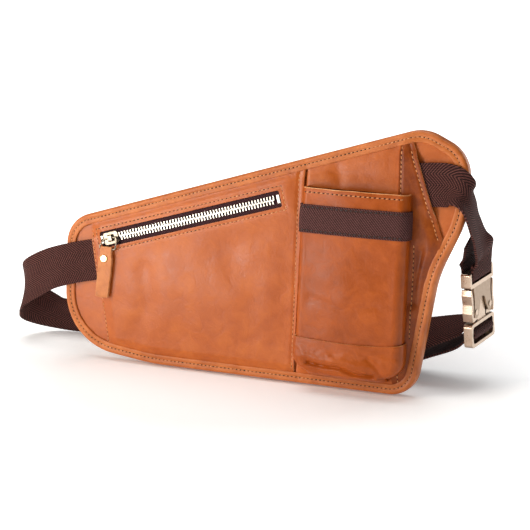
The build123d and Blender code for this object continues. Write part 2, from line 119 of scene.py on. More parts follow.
@dataclass(frozen=True)
class PackFrames:
    """The frames that the sub-assemblies are built in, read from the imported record."""

    panel: LocalFrame
    seat: LocalFrame
    buckle: LocalFrame

    @classmethod
    def from_record(cls, record: dict) -> "PackFrames":
        """Work the frames out from the back mount and the joints.

        Args:
            record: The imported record.

        Returns:
            The panel frame, the seat frame and the buckle frame.
        """
        mount = next(m for m in record["mounts"] if m["name"] == "back_rest")
        joints = {j["name"]: j for j in record["behaviour"]["joints"]}
        u = Vector((1.0, 0.0, 0.0))
        n = -Vector(mount["axis"]).normalized()
        v = n.cross(u).normalized()
        origin = Vector(mount["pos_m"]) - (u * BACK_MOUNT[0] + v * BACK_MOUNT[1] + n * BACK_MOUNT[2]) * MM
        seat = LocalFrame(origin, u, Vector((0.0, 1.0, 0.0)), Vector((0.0, 0.0, 1.0)))
        by = -Vector(joints["buckle_release"]["axis"]).normalized()
        bz = Vector(joints["lever_right_press"]["axis"]).normalized()
        pivots = [Vector(joints[f"lever_{side}_press"]["pos_m"]) for side in ("left", "right")]
        foot = (pivots[0] + pivots[1]) / 2 - by * PIVOT_HEIGHT * MM
        buckle = LocalFrame(foot, by.cross(bz), by, bz)
        return cls(LocalFrame(origin, u, v, n), seat, buckle)


# ------------------------------------------------------------------ colour and nodes
def srgb(code: str) -> tuple[float, float, float, float]:
    """Turn an sRGB hex colour into linear light.

    Args:
        code: Such as "#b9602c".

    Returns:
        Red, green, blue and alpha.
    """
    def linear(channel: float) -> float:
        """One channel from sRGB to linear."""
        return channel / 12.92 if channel <= 0.04045 else ((channel + 0.055) / 1.055) ** 2.4

    parts = [int(code[i : i + 2], 16) / 255 for i in (1, 3, 5)]
    return (*(linear(part) for part in parts), 1.0)


def add_node(
    tree: bpy.types.NodeTree, kind: str, inputs: dict | None = None, **settings: object
) -> bpy.types.Node:
    """Add a shader node with its settings, values and links.

    Args:
        tree: The node tree.
        kind: The node's type name, without the ShaderNode prefix.
        inputs: Socket name or number, to a value or to an output socket to link from.
        **settings: Properties of the node.

    Returns:
        The new node.
    """
    node = tree.nodes.new(f"ShaderNode{kind}")
    for key, value in settings.items():
        setattr(node, key, value)
    for key, value in (inputs or {}).items():
        if isinstance(value, bpy.types.NodeSocket):
            tree.links.new(value, node.inputs[key])
        else:
            node.inputs[key].default_value = value
    return node


def new_material(name: str) -> tuple[bpy.types.Material, bpy.types.NodeTree, bpy.types.Node]:
    """Start a material whose shader is still to be filled in.

    Args:
        name: The finish's name.

    Returns:
        The material, its tree and its Principled shader.
    """
    material = bpy.data.materials.new(name)
    material.use_nodes = True
    return material, material.node_tree, material.node_tree.nodes["Principled BSDF"]


def ramp(
    tree: bpy.types.NodeTree, factor: bpy.types.NodeSocket, stops: Sequence[tuple[float, str]]
) -> bpy.types.NodeSocket:
    """Colour a factor by a ramp of (position, hex) stops and return the colour."""
    node = add_node(tree, "ValToRGB", {0: factor})
    elements = node.color_ramp.elements
    while len(elements) < len(stops):
        elements.new(0.5)
    for element, (position, code) in zip(elements, stops):
        element.position = position
        element.color = srgb(code)
    return node.outputs[0]


def per_metre(size_mm: float) -> float:
    """The texture scale that gives a pattern of this size."""
    return 1.0 / (size_mm * MM)


class Cut(Enum):
    """Which side of a hide a leather face shows."""

    GRAIN = "grain"
    FLESH = "flesh"


@dataclass(frozen=True)
class OilTanLeather:
    """Oiled, semi-glossy cowhide: warm mottling, soft creases, fine pebbles and a wax sheen."""

    name: str
    deep: str
    base: str
    light: str
    roughness: float = 0.37
    coat: float = 0.1
    gloss: float = 0.32
    cut: Cut = Cut.GRAIN
    mottle_mm: float = 34.0
    crease_mm: float = 9.0
    pebble_mm: float = 1.5  # real pebbles are about 0.6 mm, drawn coarser so that they show

    def build(self) -> bpy.types.Material:
        """Make the material."""
        material, tree, shader = new_material(self.name)
        place = add_node(tree, "TexCoord").outputs["Object"]
        mottle = add_node(
            tree, "TexNoise",
            {"Vector": place, "Scale": per_metre(self.mottle_mm), "Detail": 4.0, "Roughness": 0.55},
        ).outputs[0]
        streaks = add_node(
            tree, "TexNoise",
            {"Vector": place, "Scale": per_metre(self.crease_mm), "Detail": 5.0, "Roughness": 0.6,
             "Distortion": 0.6},
        ).outputs[0]
        pebbles = add_node(
            tree, "TexVoronoi", {"Vector": place, "Scale": per_metre(self.pebble_mm), "Randomness": 0.95},
            feature="SMOOTH_F1",
        ).outputs["Distance"]
        blend = add_node(tree, "Mix", {0: 0.5, 2: mottle, 3: streaks}, data_type="FLOAT").outputs[0]
        colour = ramp(tree, blend, [(0.34, self.deep), (0.5, self.base), (0.66, self.light)])
        pore = add_node(tree, "MapRange", {0: pebbles, 1: 0.25, 2: 0.75, 3: 0.0, 4: 0.16}).outputs[0]
        tinted = add_node(tree, "Mix", {0: pore, 6: colour, 7: srgb(self.deep)}, data_type="RGBA").outputs[2]
        wear = add_node(
            tree, "MapRange", {0: streaks, 1: 0.3, 2: 0.7, 3: self.roughness - 0.08, 4: self.roughness + 0.1}
        ).outputs[0]
        crease = add_node(tree, "Bump", {"Strength": 0.5, "Distance": 0.6 * MM, "Height": streaks}).outputs[0]
        rough_cut = self.cut is Cut.FLESH
        grain = add_node(
            tree, "Bump",
            {"Strength": 0.7 if rough_cut else 0.3, "Distance": 0.18 * MM, "Height": pebbles,
             "Normal": crease},
            invert=not rough_cut,
        ).outputs[0]
        for socket, value in (("Base Color", tinted), ("Roughness", wear), ("Normal", grain)):
            tree.links.new(value, shader.inputs[socket])
        shader.inputs["IOR"].default_value = 1.5
        shader.inputs["Specular IOR Level"].default_value = self.gloss
        shader.inputs["Coat Weight"].default_value = self.coat
        shader.inputs["Coat Roughness"].default_value = 0.26
        return material


@dataclass(frozen=True)
class TwillWebbing:
    """Cotton-feel herringbone webbing: diagonal ribs that turn at every column, with a faint sheen, and
    painted shade in the ribs' troughs and painted highlight on their crests.
    """

    name: str
    dark: str
    thread: str
    light: str
    rib_mm: float = 2.1  # real ribs are about 1.2 mm, drawn coarser so that they show
    column_mm: float = 7.75
    slope: float = 0.9

    def build(self) -> bpy.types.Material:
        """Make the material, which reads the strap's own UV map in metres."""
        material, tree, shader = new_material(self.name)
        place = add_node(tree, "UVMap", uv_map="UVMap").outputs[0]
        axes = add_node(tree, "SeparateXYZ", {0: place})
        zigzag = add_node(
            tree, "Math", {0: axes.outputs[1], 1: self.column_mm * MM}, operation="PINGPONG"
        ).outputs[0]
        shift = add_node(
            tree, "Math", {0: zigzag, 1: self.slope, 2: axes.outputs[0]}, operation="MULTIPLY_ADD"
        ).outputs[0]
        turns = add_node(
            tree, "Math", {0: shift, 1: 2.0 * math.pi * per_metre(self.rib_mm)}, operation="MULTIPLY"
        ).outputs[0]
        wave = add_node(tree, "Math", {0: turns}, operation="SINE").outputs[0]
        weft_turns = add_node(
            tree, "Math", {0: axes.outputs[1], 1: 2.0 * math.pi * per_metre(self.rib_mm * 0.62)},
            operation="MULTIPLY",
        ).outputs[0]
        weft = add_node(tree, "Math", {0: weft_turns}, operation="SINE").outputs[0]
        cell = add_node(tree, "Math", {0: weft, 1: 0.35, 2: wave}, operation="MULTIPLY_ADD").outputs[0]
        height = add_node(tree, "MapRange", {0: cell, 1: -1.35, 2: 1.35, 3: 0.0, 4: 1.0}).outputs[0]
        object_place = add_node(tree, "TexCoord").outputs["Object"]
        lint = add_node(
            tree, "TexNoise",
            {"Vector": object_place, "Scale": per_metre(1.3), "Detail": 3.0, "Roughness": 0.7},
        ).outputs[0]
        # painted shade and highlight: the colour darkens into the ribs' troughs and lightens on their crests,
        # mixed with random lint tone
        shade = add_node(tree, "Mix", {0: 0.35, 2: height, 3: lint}, data_type="FLOAT").outputs[0]
        colour = ramp(tree, shade, [(0.2, self.dark), (0.5, self.thread), (0.85, self.light)])
        relief = add_node(tree, "Bump", {"Strength": 0.9, "Distance": 0.45 * MM, "Height": height}).outputs[0]
        fuzz = add_node(
            tree, "Bump", {"Strength": 0.35, "Distance": 0.2 * MM, "Height": lint, "Normal": relief}
        ).outputs[0]
        tree.links.new(colour, shader.inputs["Base Color"])
        tree.links.new(fuzz, shader.inputs["Normal"])
        shader.inputs["Roughness"].default_value = 0.85
        shader.inputs["Specular IOR Level"].default_value = 0.18
        return material


@dataclass(frozen=True)
class SpunThread:
    """Waxed polyester thread: two plies that twist, which breaks its gloss into short glints."""

    name: str
    dark: str
    light: str
    ply_mm: float = 0.9

    def build(self) -> bpy.types.Material:
        """Make the material."""
        material, tree, shader = new_material(self.name)
        place = add_node(tree, "TexCoord").outputs["Object"]
        twist = add_node(
            tree, "TexNoise", {"Vector": place, "Scale": per_metre(self.ply_mm), "Detail": 2.0}
        ).outputs[0]
        colour = ramp(tree, twist, [(0.35, self.dark), (0.65, self.light)])
        relief = add_node(tree, "Bump", {"Strength": 0.5, "Distance": 0.15 * MM, "Height": twist}).outputs[0]
        tree.links.new(colour, shader.inputs["Base Color"])
        tree.links.new(relief, shader.inputs["Normal"])
        shader.inputs["Roughness"].default_value = 0.5
        return material


@dataclass(frozen=True)
class PlatedMetal:
    """Plated die-cast zinc or brass: satin, with soft rounded edges, faint tumbling marks and dull spots."""

    name: str
    deep: str
    base: str
    light: str
    roughness: float
    round_mm: float = 0.3
    mark_mm: float = 2.2

    def build(self) -> bpy.types.Material:
        """Make the material."""
        material, tree, shader = new_material(self.name)
        place = add_node(tree, "TexCoord").outputs["Object"]
        marks = add_node(
            tree, "TexNoise",
            {"Vector": place, "Scale": per_metre(self.mark_mm), "Detail": 6.0, "Roughness": 0.65},
        ).outputs[0]
        colour = ramp(tree, marks, [(0.3, self.deep), (0.5, self.base), (0.72, self.light)])
        gloss = add_node(
            tree, "MapRange", {0: marks, 1: 0.3, 2: 0.7, 3: self.roughness - 0.07, 4: self.roughness + 0.08}
        ).outputs[0]
        rounded = add_node(tree, "Bevel", {"Radius": self.round_mm * MM}, samples=6).outputs[0]
        relief = add_node(
            tree, "Bump", {"Strength": 0.12, "Distance": 0.08 * MM, "Height": marks, "Normal": rounded}
        ).outputs[0]
        for socket, value in (("Base Color", colour), ("Roughness", gloss), ("Normal", relief)):
            tree.links.new(value, shader.inputs[socket])
        shader.inputs["Metallic"].default_value = 1.0
        return material


@dataclass(frozen=True)
class PlainCloth:
    """Thin woven cloth or foam: a fine even grain with no gloss."""

    name: str
    dark: str
    light: str
    grain_mm: float
    roughness: float = 0.9

    def build(self) -> bpy.types.Material:
        """Make the material."""
        material, tree, shader = new_material(self.name)
        place = add_node(tree, "TexCoord").outputs["Object"]
        grain = add_node(
            tree, "TexVoronoi", {"Vector": place, "Scale": per_metre(self.grain_mm)}
        ).outputs["Distance"]
        colour = ramp(tree, grain, [(0.1, self.light), (0.8, self.dark)])
        relief = add_node(tree, "Bump", {"Strength": 0.5, "Distance": 0.2 * MM, "Height": grain}, invert=True)
        tree.links.new(colour, shader.inputs["Base Color"])
        tree.links.new(relief.outputs[0], shader.inputs["Normal"])
        shader.inputs["Roughness"].default_value = self.roughness
        return material


class Finishes:
    """Every finish of the pack, made once."""

    def __init__(self) -> None:
        # Cognac cowhide: the body's colour, mottled from burnt orange to light tan
        self.leather = OilTanLeather("cognac_cowhide", "#a34c10", "#b15717", "#be6320").build()
        # Pocket cowhide: the same hide stretched over the phone, painted deeper in colour as shade, for the
        # lesser key light that reaches the pocket
        self.shaded_pocket_leather = OilTanLeather(
            "pocket_cowhide_painted_shade", "#8f3f06", "#a0490c", "#b05412", roughness=0.37, coat=0.06, gloss=0.24
        ).build()
        # Side cowhide: the body's hide with painted shade, darker and nearly brown in its fold, for the side
        # panel that lies in the pocket's shadow
        self.shaded_side_leather = OilTanLeather(
            "side_cowhide_painted_shade", "#6c2c0a", "#8c400f", "#a65216", roughness=0.4, coat=0.08, gloss=0.2
        ).build()
        # Binding strip: skived hide, paler and a little drier than the panels
        self.binding = OilTanLeather(
            "binding_strip_hide", "#a75622", "#ba662c", "#c9753b", roughness=0.46, coat=0.06, mottle_mm=18.0
        ).build()
        # Raw cut edge: pale fibrous core of the hide along every cut
        self.raw_edge = OilTanLeather(
            "raw_cut_edge", "#b06c3a", "#d2905a", "#e6b184", roughness=0.72, coat=0.0, cut=Cut.FLESH,
            mottle_mm=5.0,
        ).build()
        # Tab leather: firmer veg-tan hide, lighter and warmer
        self.tab_leather = OilTanLeather(
            "pull_tab_hide", "#a55a26", "#bf7036", "#cf8548", roughness=0.45, coat=0.1, mottle_mm=14.0
        ).build()
        # Back hide: matt, slightly darker hide against the body
        self.back_leather = OilTanLeather(
            "back_cowhide", "#8a451e", "#9c5227", "#a95c31", roughness=0.55, coat=0.05, mottle_mm=28.0
        ).build()
        # Chocolate webbing: the ribs give it its diagonal lines
        self.webbing = TwillWebbing("chocolate_twill_webbing", "#140706", "#3a1e1b", "#73463f").build()
        # Twill band: the same yarn woven finer
        self.band = TwillWebbing(
            "chocolate_twill_band", "#23100e", "#482a29", "#764e4a", rib_mm=1.9, column_mm=40.0
        ).build()
        # Zip tape: knitted dark tape with a tight herringbone
        self.tape = TwillWebbing(
            "zip_tape_weave", "#1c0d0f", "#3b2226", "#5a3a3e", rib_mm=1.4, column_mm=2.6
        ).build()
        # Tan thread of the leather seams
        self.thread = SpunThread("tan_waxed_thread", "#a9622f", "#d4945e").build()
        # Brown thread of the band
        self.dark_thread = SpunThread("brown_waxed_thread", "#120706", "#361c1c").build()
        # Needle holes: the shadow inside each punched hole
        self.hole = PlainCloth("needle_hole_shadow", "#2a1007", "#4a1f0c", 0.8).build()
        # Champagne plating of the buckle: satin nickel-gold
        self.buckle = PlatedMetal(
            "champagne_plated_zinc", "#b6a08c", "#c1ac98", "#cdb9a6", 0.3, mark_mm=3.5
        ).build()
        # Face plates of the buckle: the same plating, duller, and painted darker as shade on its flat faces,
        # which turn away from the key light
        self.plate = PlatedMetal(
            "champagne_plating_painted_shade", "#927c68", "#a08b77", "#af9b88", 0.38, mark_mm=3.5
        ).build()
        # Pale brass plating of the zips: bright highs on a slightly warm grey
        self.zip_metal = PlatedMetal(
            "pale_antique_brass_zip", "#aaa295", "#cbc4b7", "#ece8df", 0.3, round_mm=0.12
        ).build()
        # Plating of the slider and ring: a darker brass, painted down as shade so that the sheen box's light
        # does not wash it out
        self.slider = PlatedMetal(
            "shade_darkened_brass_slider", "#5e5548", "#7d7364", "#a69c8c", 0.26, round_mm=0.2, mark_mm=6.0
        ).build()
        # Polished brass of the rivet
        self.rivet = PlatedMetal(
            "polished_brass_rivet", "#cfae74", "#dcc08c", "#ead6ac", 0.24, round_mm=0.4, mark_mm=8.0
        ).build()
        # Spring wire
        self.spring = PlatedMetal(
            "spring_steel_wire", "#5a5a5c", "#85868a", "#b4b6ba", 0.3, round_mm=0.1
        ).build()
        # Open-cell foam of the padding: pale, with small pores
        self.foam = PlainCloth("pale_open_cell_foam", "#c9c5b8", "#e4e1d6", 1.2).build()
        # Lining: thin woven polyester
        self.lining = PlainCloth("brown_woven_lining", "#2d1c16", "#4a3026", 0.7, roughness=0.7).build()


# ------------------------------------------------------------------ meshes
def apply_modifiers(obj: bpy.types.Object) -> None:
    """Bake an object's modifiers into its mesh."""
    bpy.context.view_layer.update()
    evaluated = obj.evaluated_get(bpy.context.evaluated_depsgraph_get())
    mesh = bpy.data.meshes.new_from_object(evaluated)
    obj.modifiers.clear()
    obj.data = mesh


def make_piece(
    bm: bmesh.types.BMesh,
    name: str,
    materials: Sequence[bpy.types.Material],
    frame: LocalFrame | None = None,
    thickness: float = 0.0,
    offset: float = -1.0,
    edge_round: float = 0.0,
    sharp_degrees: float = 40.0,
) -> bpy.types.Object:
    """Turn a bmesh into a finished piece, at the origin with its place in its mesh.

    Args:
        bm: The mesh, in its frame's millimetres; it is freed.
        name: The piece's name.
        materials: Its face material, then the material of its cut edge.
        frame: The frame that it was built in, or None if it is already in metres.
        thickness: The sheet's thickness in millimetres, or 0 for a solid.
        offset: Solidify's offset, -1 for a sheet whose outer face is the mesh.
        edge_round: Radius of the cut edges, in millimetres.
        sharp_degrees: Faces that meet at more than this are not smoothed together.

    Returns:
        The new object.
    """
    if frame is not None:
        bmesh.ops.transform(bm, matrix=frame.matrix(), verts=bm.verts)
    mesh = bpy.data.meshes.new(name)
    bm.to_mesh(mesh)
    bm.free()
    obj = bpy.data.objects.new(name, mesh)
    bpy.context.scene.collection.objects.link(obj)
    for material in materials:
        mesh.materials.append(material)
    if thickness:
        wall = obj.modifiers.new("wall", "SOLIDIFY")
        wall.thickness = thickness * MM
        wall.offset = offset
        wall.use_even_offset = offset < 0.0
        wall.material_offset_rim = len(materials) - 1
    if edge_round:
        rounded = obj.modifiers.new("rounded", "BEVEL")
        rounded.width = edge_round * MM
        rounded.segments = 2
        rounded.limit_method = "ANGLE"
        rounded.angle_limit = math.radians(50.0)
        rounded.material = len(materials) - 1
    if thickness or edge_round:
        apply_modifiers(obj)
    obj.data.polygons.foreach_set("use_smooth", [True] * len(obj.data.polygons))
    obj.data.set_sharp_from_angle(angle=math.radians(sharp_degrees))
    return obj


def mapped_grid(columns: int, rows: int, place: Place, uv: Plot | None = None) -> bmesh.types.BMesh:
    """A grid whose two shares, from 0 to 1, are moved to their place.

    Args:
        columns: Faces along the first share.
        rows: Faces along the second share.
        place: Gives a point for the two shares.
        uv: Gives the UV in metres for the two shares, or None for the shares' own.

    Returns:
        The mesh.
    """
    bm = bmesh.new()
    bmesh.ops.create_grid(bm, x_segments=columns, y_segments=rows, size=0.5)
    layer = bm.loops.layers.uv.new("UVMap")
    shares = {vert.index: (vert.co.x + 0.5, vert.co.y + 0.5) for vert in bm.verts}
    for face in bm.faces:
        for loop in face.loops:
            s, t = shares[loop.vert.index]
            loop[layer].uv = uv(s, t) if uv else (s, t)
    for vert in bm.verts:
        vert.co = place(*shares[vert.index])
    return bm


def face_out(bm: bmesh.types.BMesh) -> None:
    """Turn a sheet's faces the same way, so that its highest face looks outwards."""
    bmesh.ops.recalc_face_normals(bm, faces=bm.faces)
    if max(bm.faces, key=lambda f: f.calc_center_median().z).normal.z < 0:
        bmesh.ops.reverse_faces(bm, faces=bm.faces)


def pour(source: bmesh.types.BMesh, target: bmesh.types.BMesh) -> None:
    """Add one mesh to another, and free it."""
    spare = bpy.data.meshes.new("spare")
    source.to_mesh(spare)
    source.free()
    target.from_mesh(spare)
    bpy.data.meshes.remove(spare)


def join_ring(bm: bmesh.types.BMesh) -> None:
    """Sew the two ends of a swept grid together."""
    bmesh.ops.remove_doubles(bm, verts=bm.verts, dist=0.01)


def resample(run: Sequence[Point2], pitch: float) -> list[tuple[Vector, Vector]]:
    """Points and directions at an even pitch along a run of straight lines.

    Args:
        run: The corners.
        pitch: The wanted distance between points.

    Returns:
        Pairs of a point and its unit direction.
    """
    lengths = [(Vector(b) - Vector(a)).length for a, b in zip(run, run[1:])]
    total = sum(lengths)
    count = max(int(total / pitch), 1)
    found, start, leg = [], 0.0, 0
    for i in range(count):
        reach = (i + 0.5) * total / count
        while leg < len(lengths) - 1 and reach > start + lengths[leg]:
            start += lengths[leg]
            leg += 1
        a, b = Vector(run[leg]), Vector(run[leg + 1])
        direction = (b - a).normalized()
        found.append((a + direction * (reach - start), direction))
    return found


# ------------------------------------------------------------------ outline of the pack
@dataclass(frozen=True)
class Outline:
    """The pack's rounded outline, with the place and inward direction at each length along it."""

    points: tuple[Vector, ...]
    inward: tuple[Vector, ...]
    lengths: tuple[float, ...]
    tree: KDTree

    CORNERS = (
        (-156.5, 102.0, 24.0),
        (119.0, 190.0, 28.0),
        (152.8, 174.0, 26.0),
        (152.3, 128.8, 65.0),
        (134.2, 86.9, 90.0),
        (121.6, -0.7, 21.0),
        (-82.0, -0.7, 200.0),
        (-156.5, 8.5, 45.0),
    )
    STEP = 1.0

    @classmethod
    def trace(cls) -> "Outline":
        """Round the corners and walk round the outline, clockwise from the left top."""
        raw: list[Vector] = []
        count = len(cls.CORNERS)
        for i, (u, v, radius) in enumerate(cls.CORNERS):
            corner = Vector((u, v))
            before = (Vector(cls.CORNERS[i - 1][:2]) - corner).normalized()
            after = (Vector(cls.CORNERS[(i + 1) % count][:2]) - corner).normalized()
            half = before.angle(after) / 2
            middle = corner + (before + after).normalized() * (radius / math.sin(half))
            start = corner + before * (radius / math.tan(half)) - middle
            end = corner + after * (radius / math.tan(half)) - middle
            turn = start.angle_signed(end)
            steps = max(int(abs(turn) * radius / cls.STEP), 4)
            for k in range(steps + 1):
                raw.append(middle + Matrix.Rotation(-turn * k / steps, 2) @ start)
        closed = raw + [raw[0]]
        walked = resample([tuple(p) for p in closed], cls.STEP)
        points = tuple(p for p, _ in walked)
        inward = []
        for i in range(len(points)):
            along = (points[(i + 3) % len(points)] - points[i - 3]).normalized()
            inward.append(Vector((along.y, -along.x)))
        total, lengths = 0.0, []
        for i, point in enumerate(points):
            lengths.append(total)
            total += (points[(i + 1) % len(points)] - point).length
        tree = KDTree(len(points))
        for i, point in enumerate(points):
            tree.insert(point.to_3d(), i)
        tree.balance()
        return cls(points, tuple(inward), tuple(lengths + [total]), tree)

    @property
    def total(self) -> float:
        """The outline's length."""
        return self.lengths[-1]

    def at(self, length: float, inset: float = 0.0) -> Point2:
        """The point at a length along the outline, drawn in by inset."""
        share = (length / self.total) % 1.0 * len(self.points)
        i = int(share) % len(self.points)
        j = (i + 1) % len(self.points)
        part = share - int(share)
        point = self.points[i].lerp(self.points[j], part) + self.inward[i].lerp(self.inward[j], part) * inset
        return (point.x, point.y)

    def depth(self, u: float, v: float) -> float:
        """How far a point is inside the outline."""
        return self.tree.find(Vector((u, v, 0.0)))[2]

    def crossing(self, line: Line, upper: bool) -> float:
        """The length at which the outline crosses a line, at its upper or lower side.

        Args:
            line: Two points on the line.
            upper: True for the higher crossing.

        Returns:
            The length along the outline.
        """
        a, b = Vector(line[0]), Vector(line[1])
        across = Vector((b.y - a.y, a.x - b.x))
        sides = [(p - a).dot(across) for p in self.points]
        found = [i for i in range(len(sides)) if sides[i] * sides[i - 1] <= 0]
        pick = max(found, key=lambda i: self.points[i].y if upper else -self.points[i].y)
        return self.lengths[pick]

    def run(self, start: float, end: float, inset: float, forwards: bool = True) -> list[Point2]:
        """The outline from one length to another, drawn in by inset, one point a millimetre."""
        span = (end - start) % self.total if forwards else -((start - end) % self.total)
        steps = max(int(abs(span) / self.STEP), 1)
        return [self.at(start + span * k / steps, inset) for k in range(steps + 1)]


@dataclass(frozen=True)
class Patch:
    """A four-sided panel: runs along its bottom and top, left to right, and its left and right, upwards."""

    bottom: Sequence[Point2]
    top: Sequence[Point2]
    left: Sequence[Point2]
    right: Sequence[Point2]

    @staticmethod
    def along(run: Sequence[Point2], share: float) -> Vector:
        """The point a share of the way along a run."""
        place = share * (len(run) - 1)
        i = min(int(place), len(run) - 2)
        return Vector(run[i]).lerp(Vector(run[i + 1]), place - i)

    def point(self, s: float, t: float) -> Vector:
        """The point at two shares, blended from all four sides."""
        sides = self.along(self.bottom, s) * (1 - t) + self.along(self.top, s) * t
        sides += self.along(self.left, t) * (1 - s) + self.along(self.right, t) * s
        low = Vector(self.bottom[0]) * (1 - s) + Vector(self.bottom[-1]) * s
        high = Vector(self.top[0]) * (1 - s) + Vector(self.top[-1]) * s
        return sides - low * (1 - t) - high * t

    def sheet(self, columns: int, rows: int, height: Height) -> bmesh.types.BMesh:
        """A sheet over the patch, at a height for each place.

        Args:
            columns: Faces from left to right.
            rows: Faces from bottom to top.
            height: Height above the panel frame for u and v.

        Returns:
            The mesh, in panel millimetres.
        """
        def place(s: float, t: float) -> Vector:
            """One vertex."""
            u, v = self.point(s, t)
            return Vector((u, v, height(u, v)))

        def uv(s: float, t: float) -> Point2:
            """The place on the panel, in metres."""
            u, v = self.point(s, t)
            return (u * MM, v * MM)

        return mapped_grid(columns, rows, place, uv)


# ------------------------------------------------------------------ seams
@dataclass(frozen=True)
class Seam:
    """A row of lockstitches: threads lying in a run, with the needle's holes between them."""

    pitch: float = 3.3
    length: float = 2.5
    width: float = 0.95
    height: float = 0.62
    slant_degrees: float = 11.0
    hole: float = 0.82

    def shape(self, size: tuple[float, float, float]) -> bpy.types.Mesh:
        """One rounded bead of this size, to be repeated."""
        bm = bmesh.new()
        bmesh.ops.create_uvsphere(
            bm, u_segments=6, v_segments=5, radius=1.0, matrix=Matrix.Diagonal((*size, 1.0))
        )
        mesh = bpy.data.meshes.new("bead")
        bm.to_mesh(mesh)
        bm.free()
        return mesh

    @staticmethod
    def repeat(bm: bmesh.types.BMesh, bead: bpy.types.Mesh, place: Matrix) -> None:
        """Add a copy of a bead at a place."""
        copy = bead.copy()
        copy.transform(place)
        bm.from_mesh(copy)
        bpy.data.meshes.remove(copy)

    def sew(
        self, threads: bmesh.types.BMesh, holes: bmesh.types.BMesh, run: Sequence[Point2], face: Height
    ) -> None:
        """Add one row to a mesh of threads and a mesh of holes.

        Args:
            threads: Takes the threads.
            holes: Takes the holes.
            run: The row's line, in panel millimetres.
            face: Height of the leather's face for u and v.
        """
        thread = self.shape((self.length / 2, self.width / 2, self.height / 2))
        hole = self.shape((self.hole, self.hole * 0.8, 0.12))
        for point, along in resample(run, self.pitch):
            u, v = point
            turn = math.atan2(along.y, along.x) + math.radians(self.slant_degrees)
            rise = face(u + along.x, v + along.y) - face(u - along.x, v - along.y)
            spin = Matrix.Rotation(turn, 4, "Z") @ Matrix.Rotation(-math.atan2(rise, 2.0), 4, "Y")
            wobble = 0.12 * noise.noise(Vector((u * 0.7, v * 0.7, 3.0)))
            place = Matrix.Translation((u, v + wobble, face(u, v) + 0.02)) @ spin
            self.repeat(threads, thread, place)
            end = point - along * self.pitch / 2
            spot = Matrix.Translation((end.x, end.y, face(end.x, end.y) - 0.03))
            self.repeat(holes, hole, spot @ spin)


@dataclass
class SeamSet:
    """All the rows of one thread colour on one sub-assembly."""

    name: str
    thread: bpy.types.Material
    hole: bpy.types.Material

    def __post_init__(self) -> None:
        self.threads = bmesh.new()
        self.holes = bmesh.new()

    def row(self, run: Sequence[Point2], face: Height, seam: Seam = Seam()) -> None:
        """Sew one row."""
        seam.sew(self.threads, self.holes, run, face)

    def finish(self, frame: LocalFrame, body: str) -> None:
        """Make the two pieces and let them ride."""
        parts = (("threads", self.threads, self.thread), ("needle_holes", self.holes, self.hole))
        for part, bm, material in parts:
            piece = make_piece(bm, f"{self.name}_{part}", [material], frame, sharp_degrees=80.0)
            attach(piece, body)
            LOG.info("piece %s", piece.name)


def settle(piece: bpy.types.Object, body: str, slot: str, *nodes: str) -> bpy.types.Object:
    """Let a piece ride on its body and stand for its nodes.

    Args:
        piece: The finished piece.
        body: The body that it moves with.
        slot: The record's material slot; not used.
        *nodes: The CAD nodes that it stands for.

    Returns:
        The piece.
    """
    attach(piece, body)
    if nodes:
        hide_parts(*nodes)
    LOG.info("piece %s rides %s", piece.name, body)
    return piece


PACK = "pack"


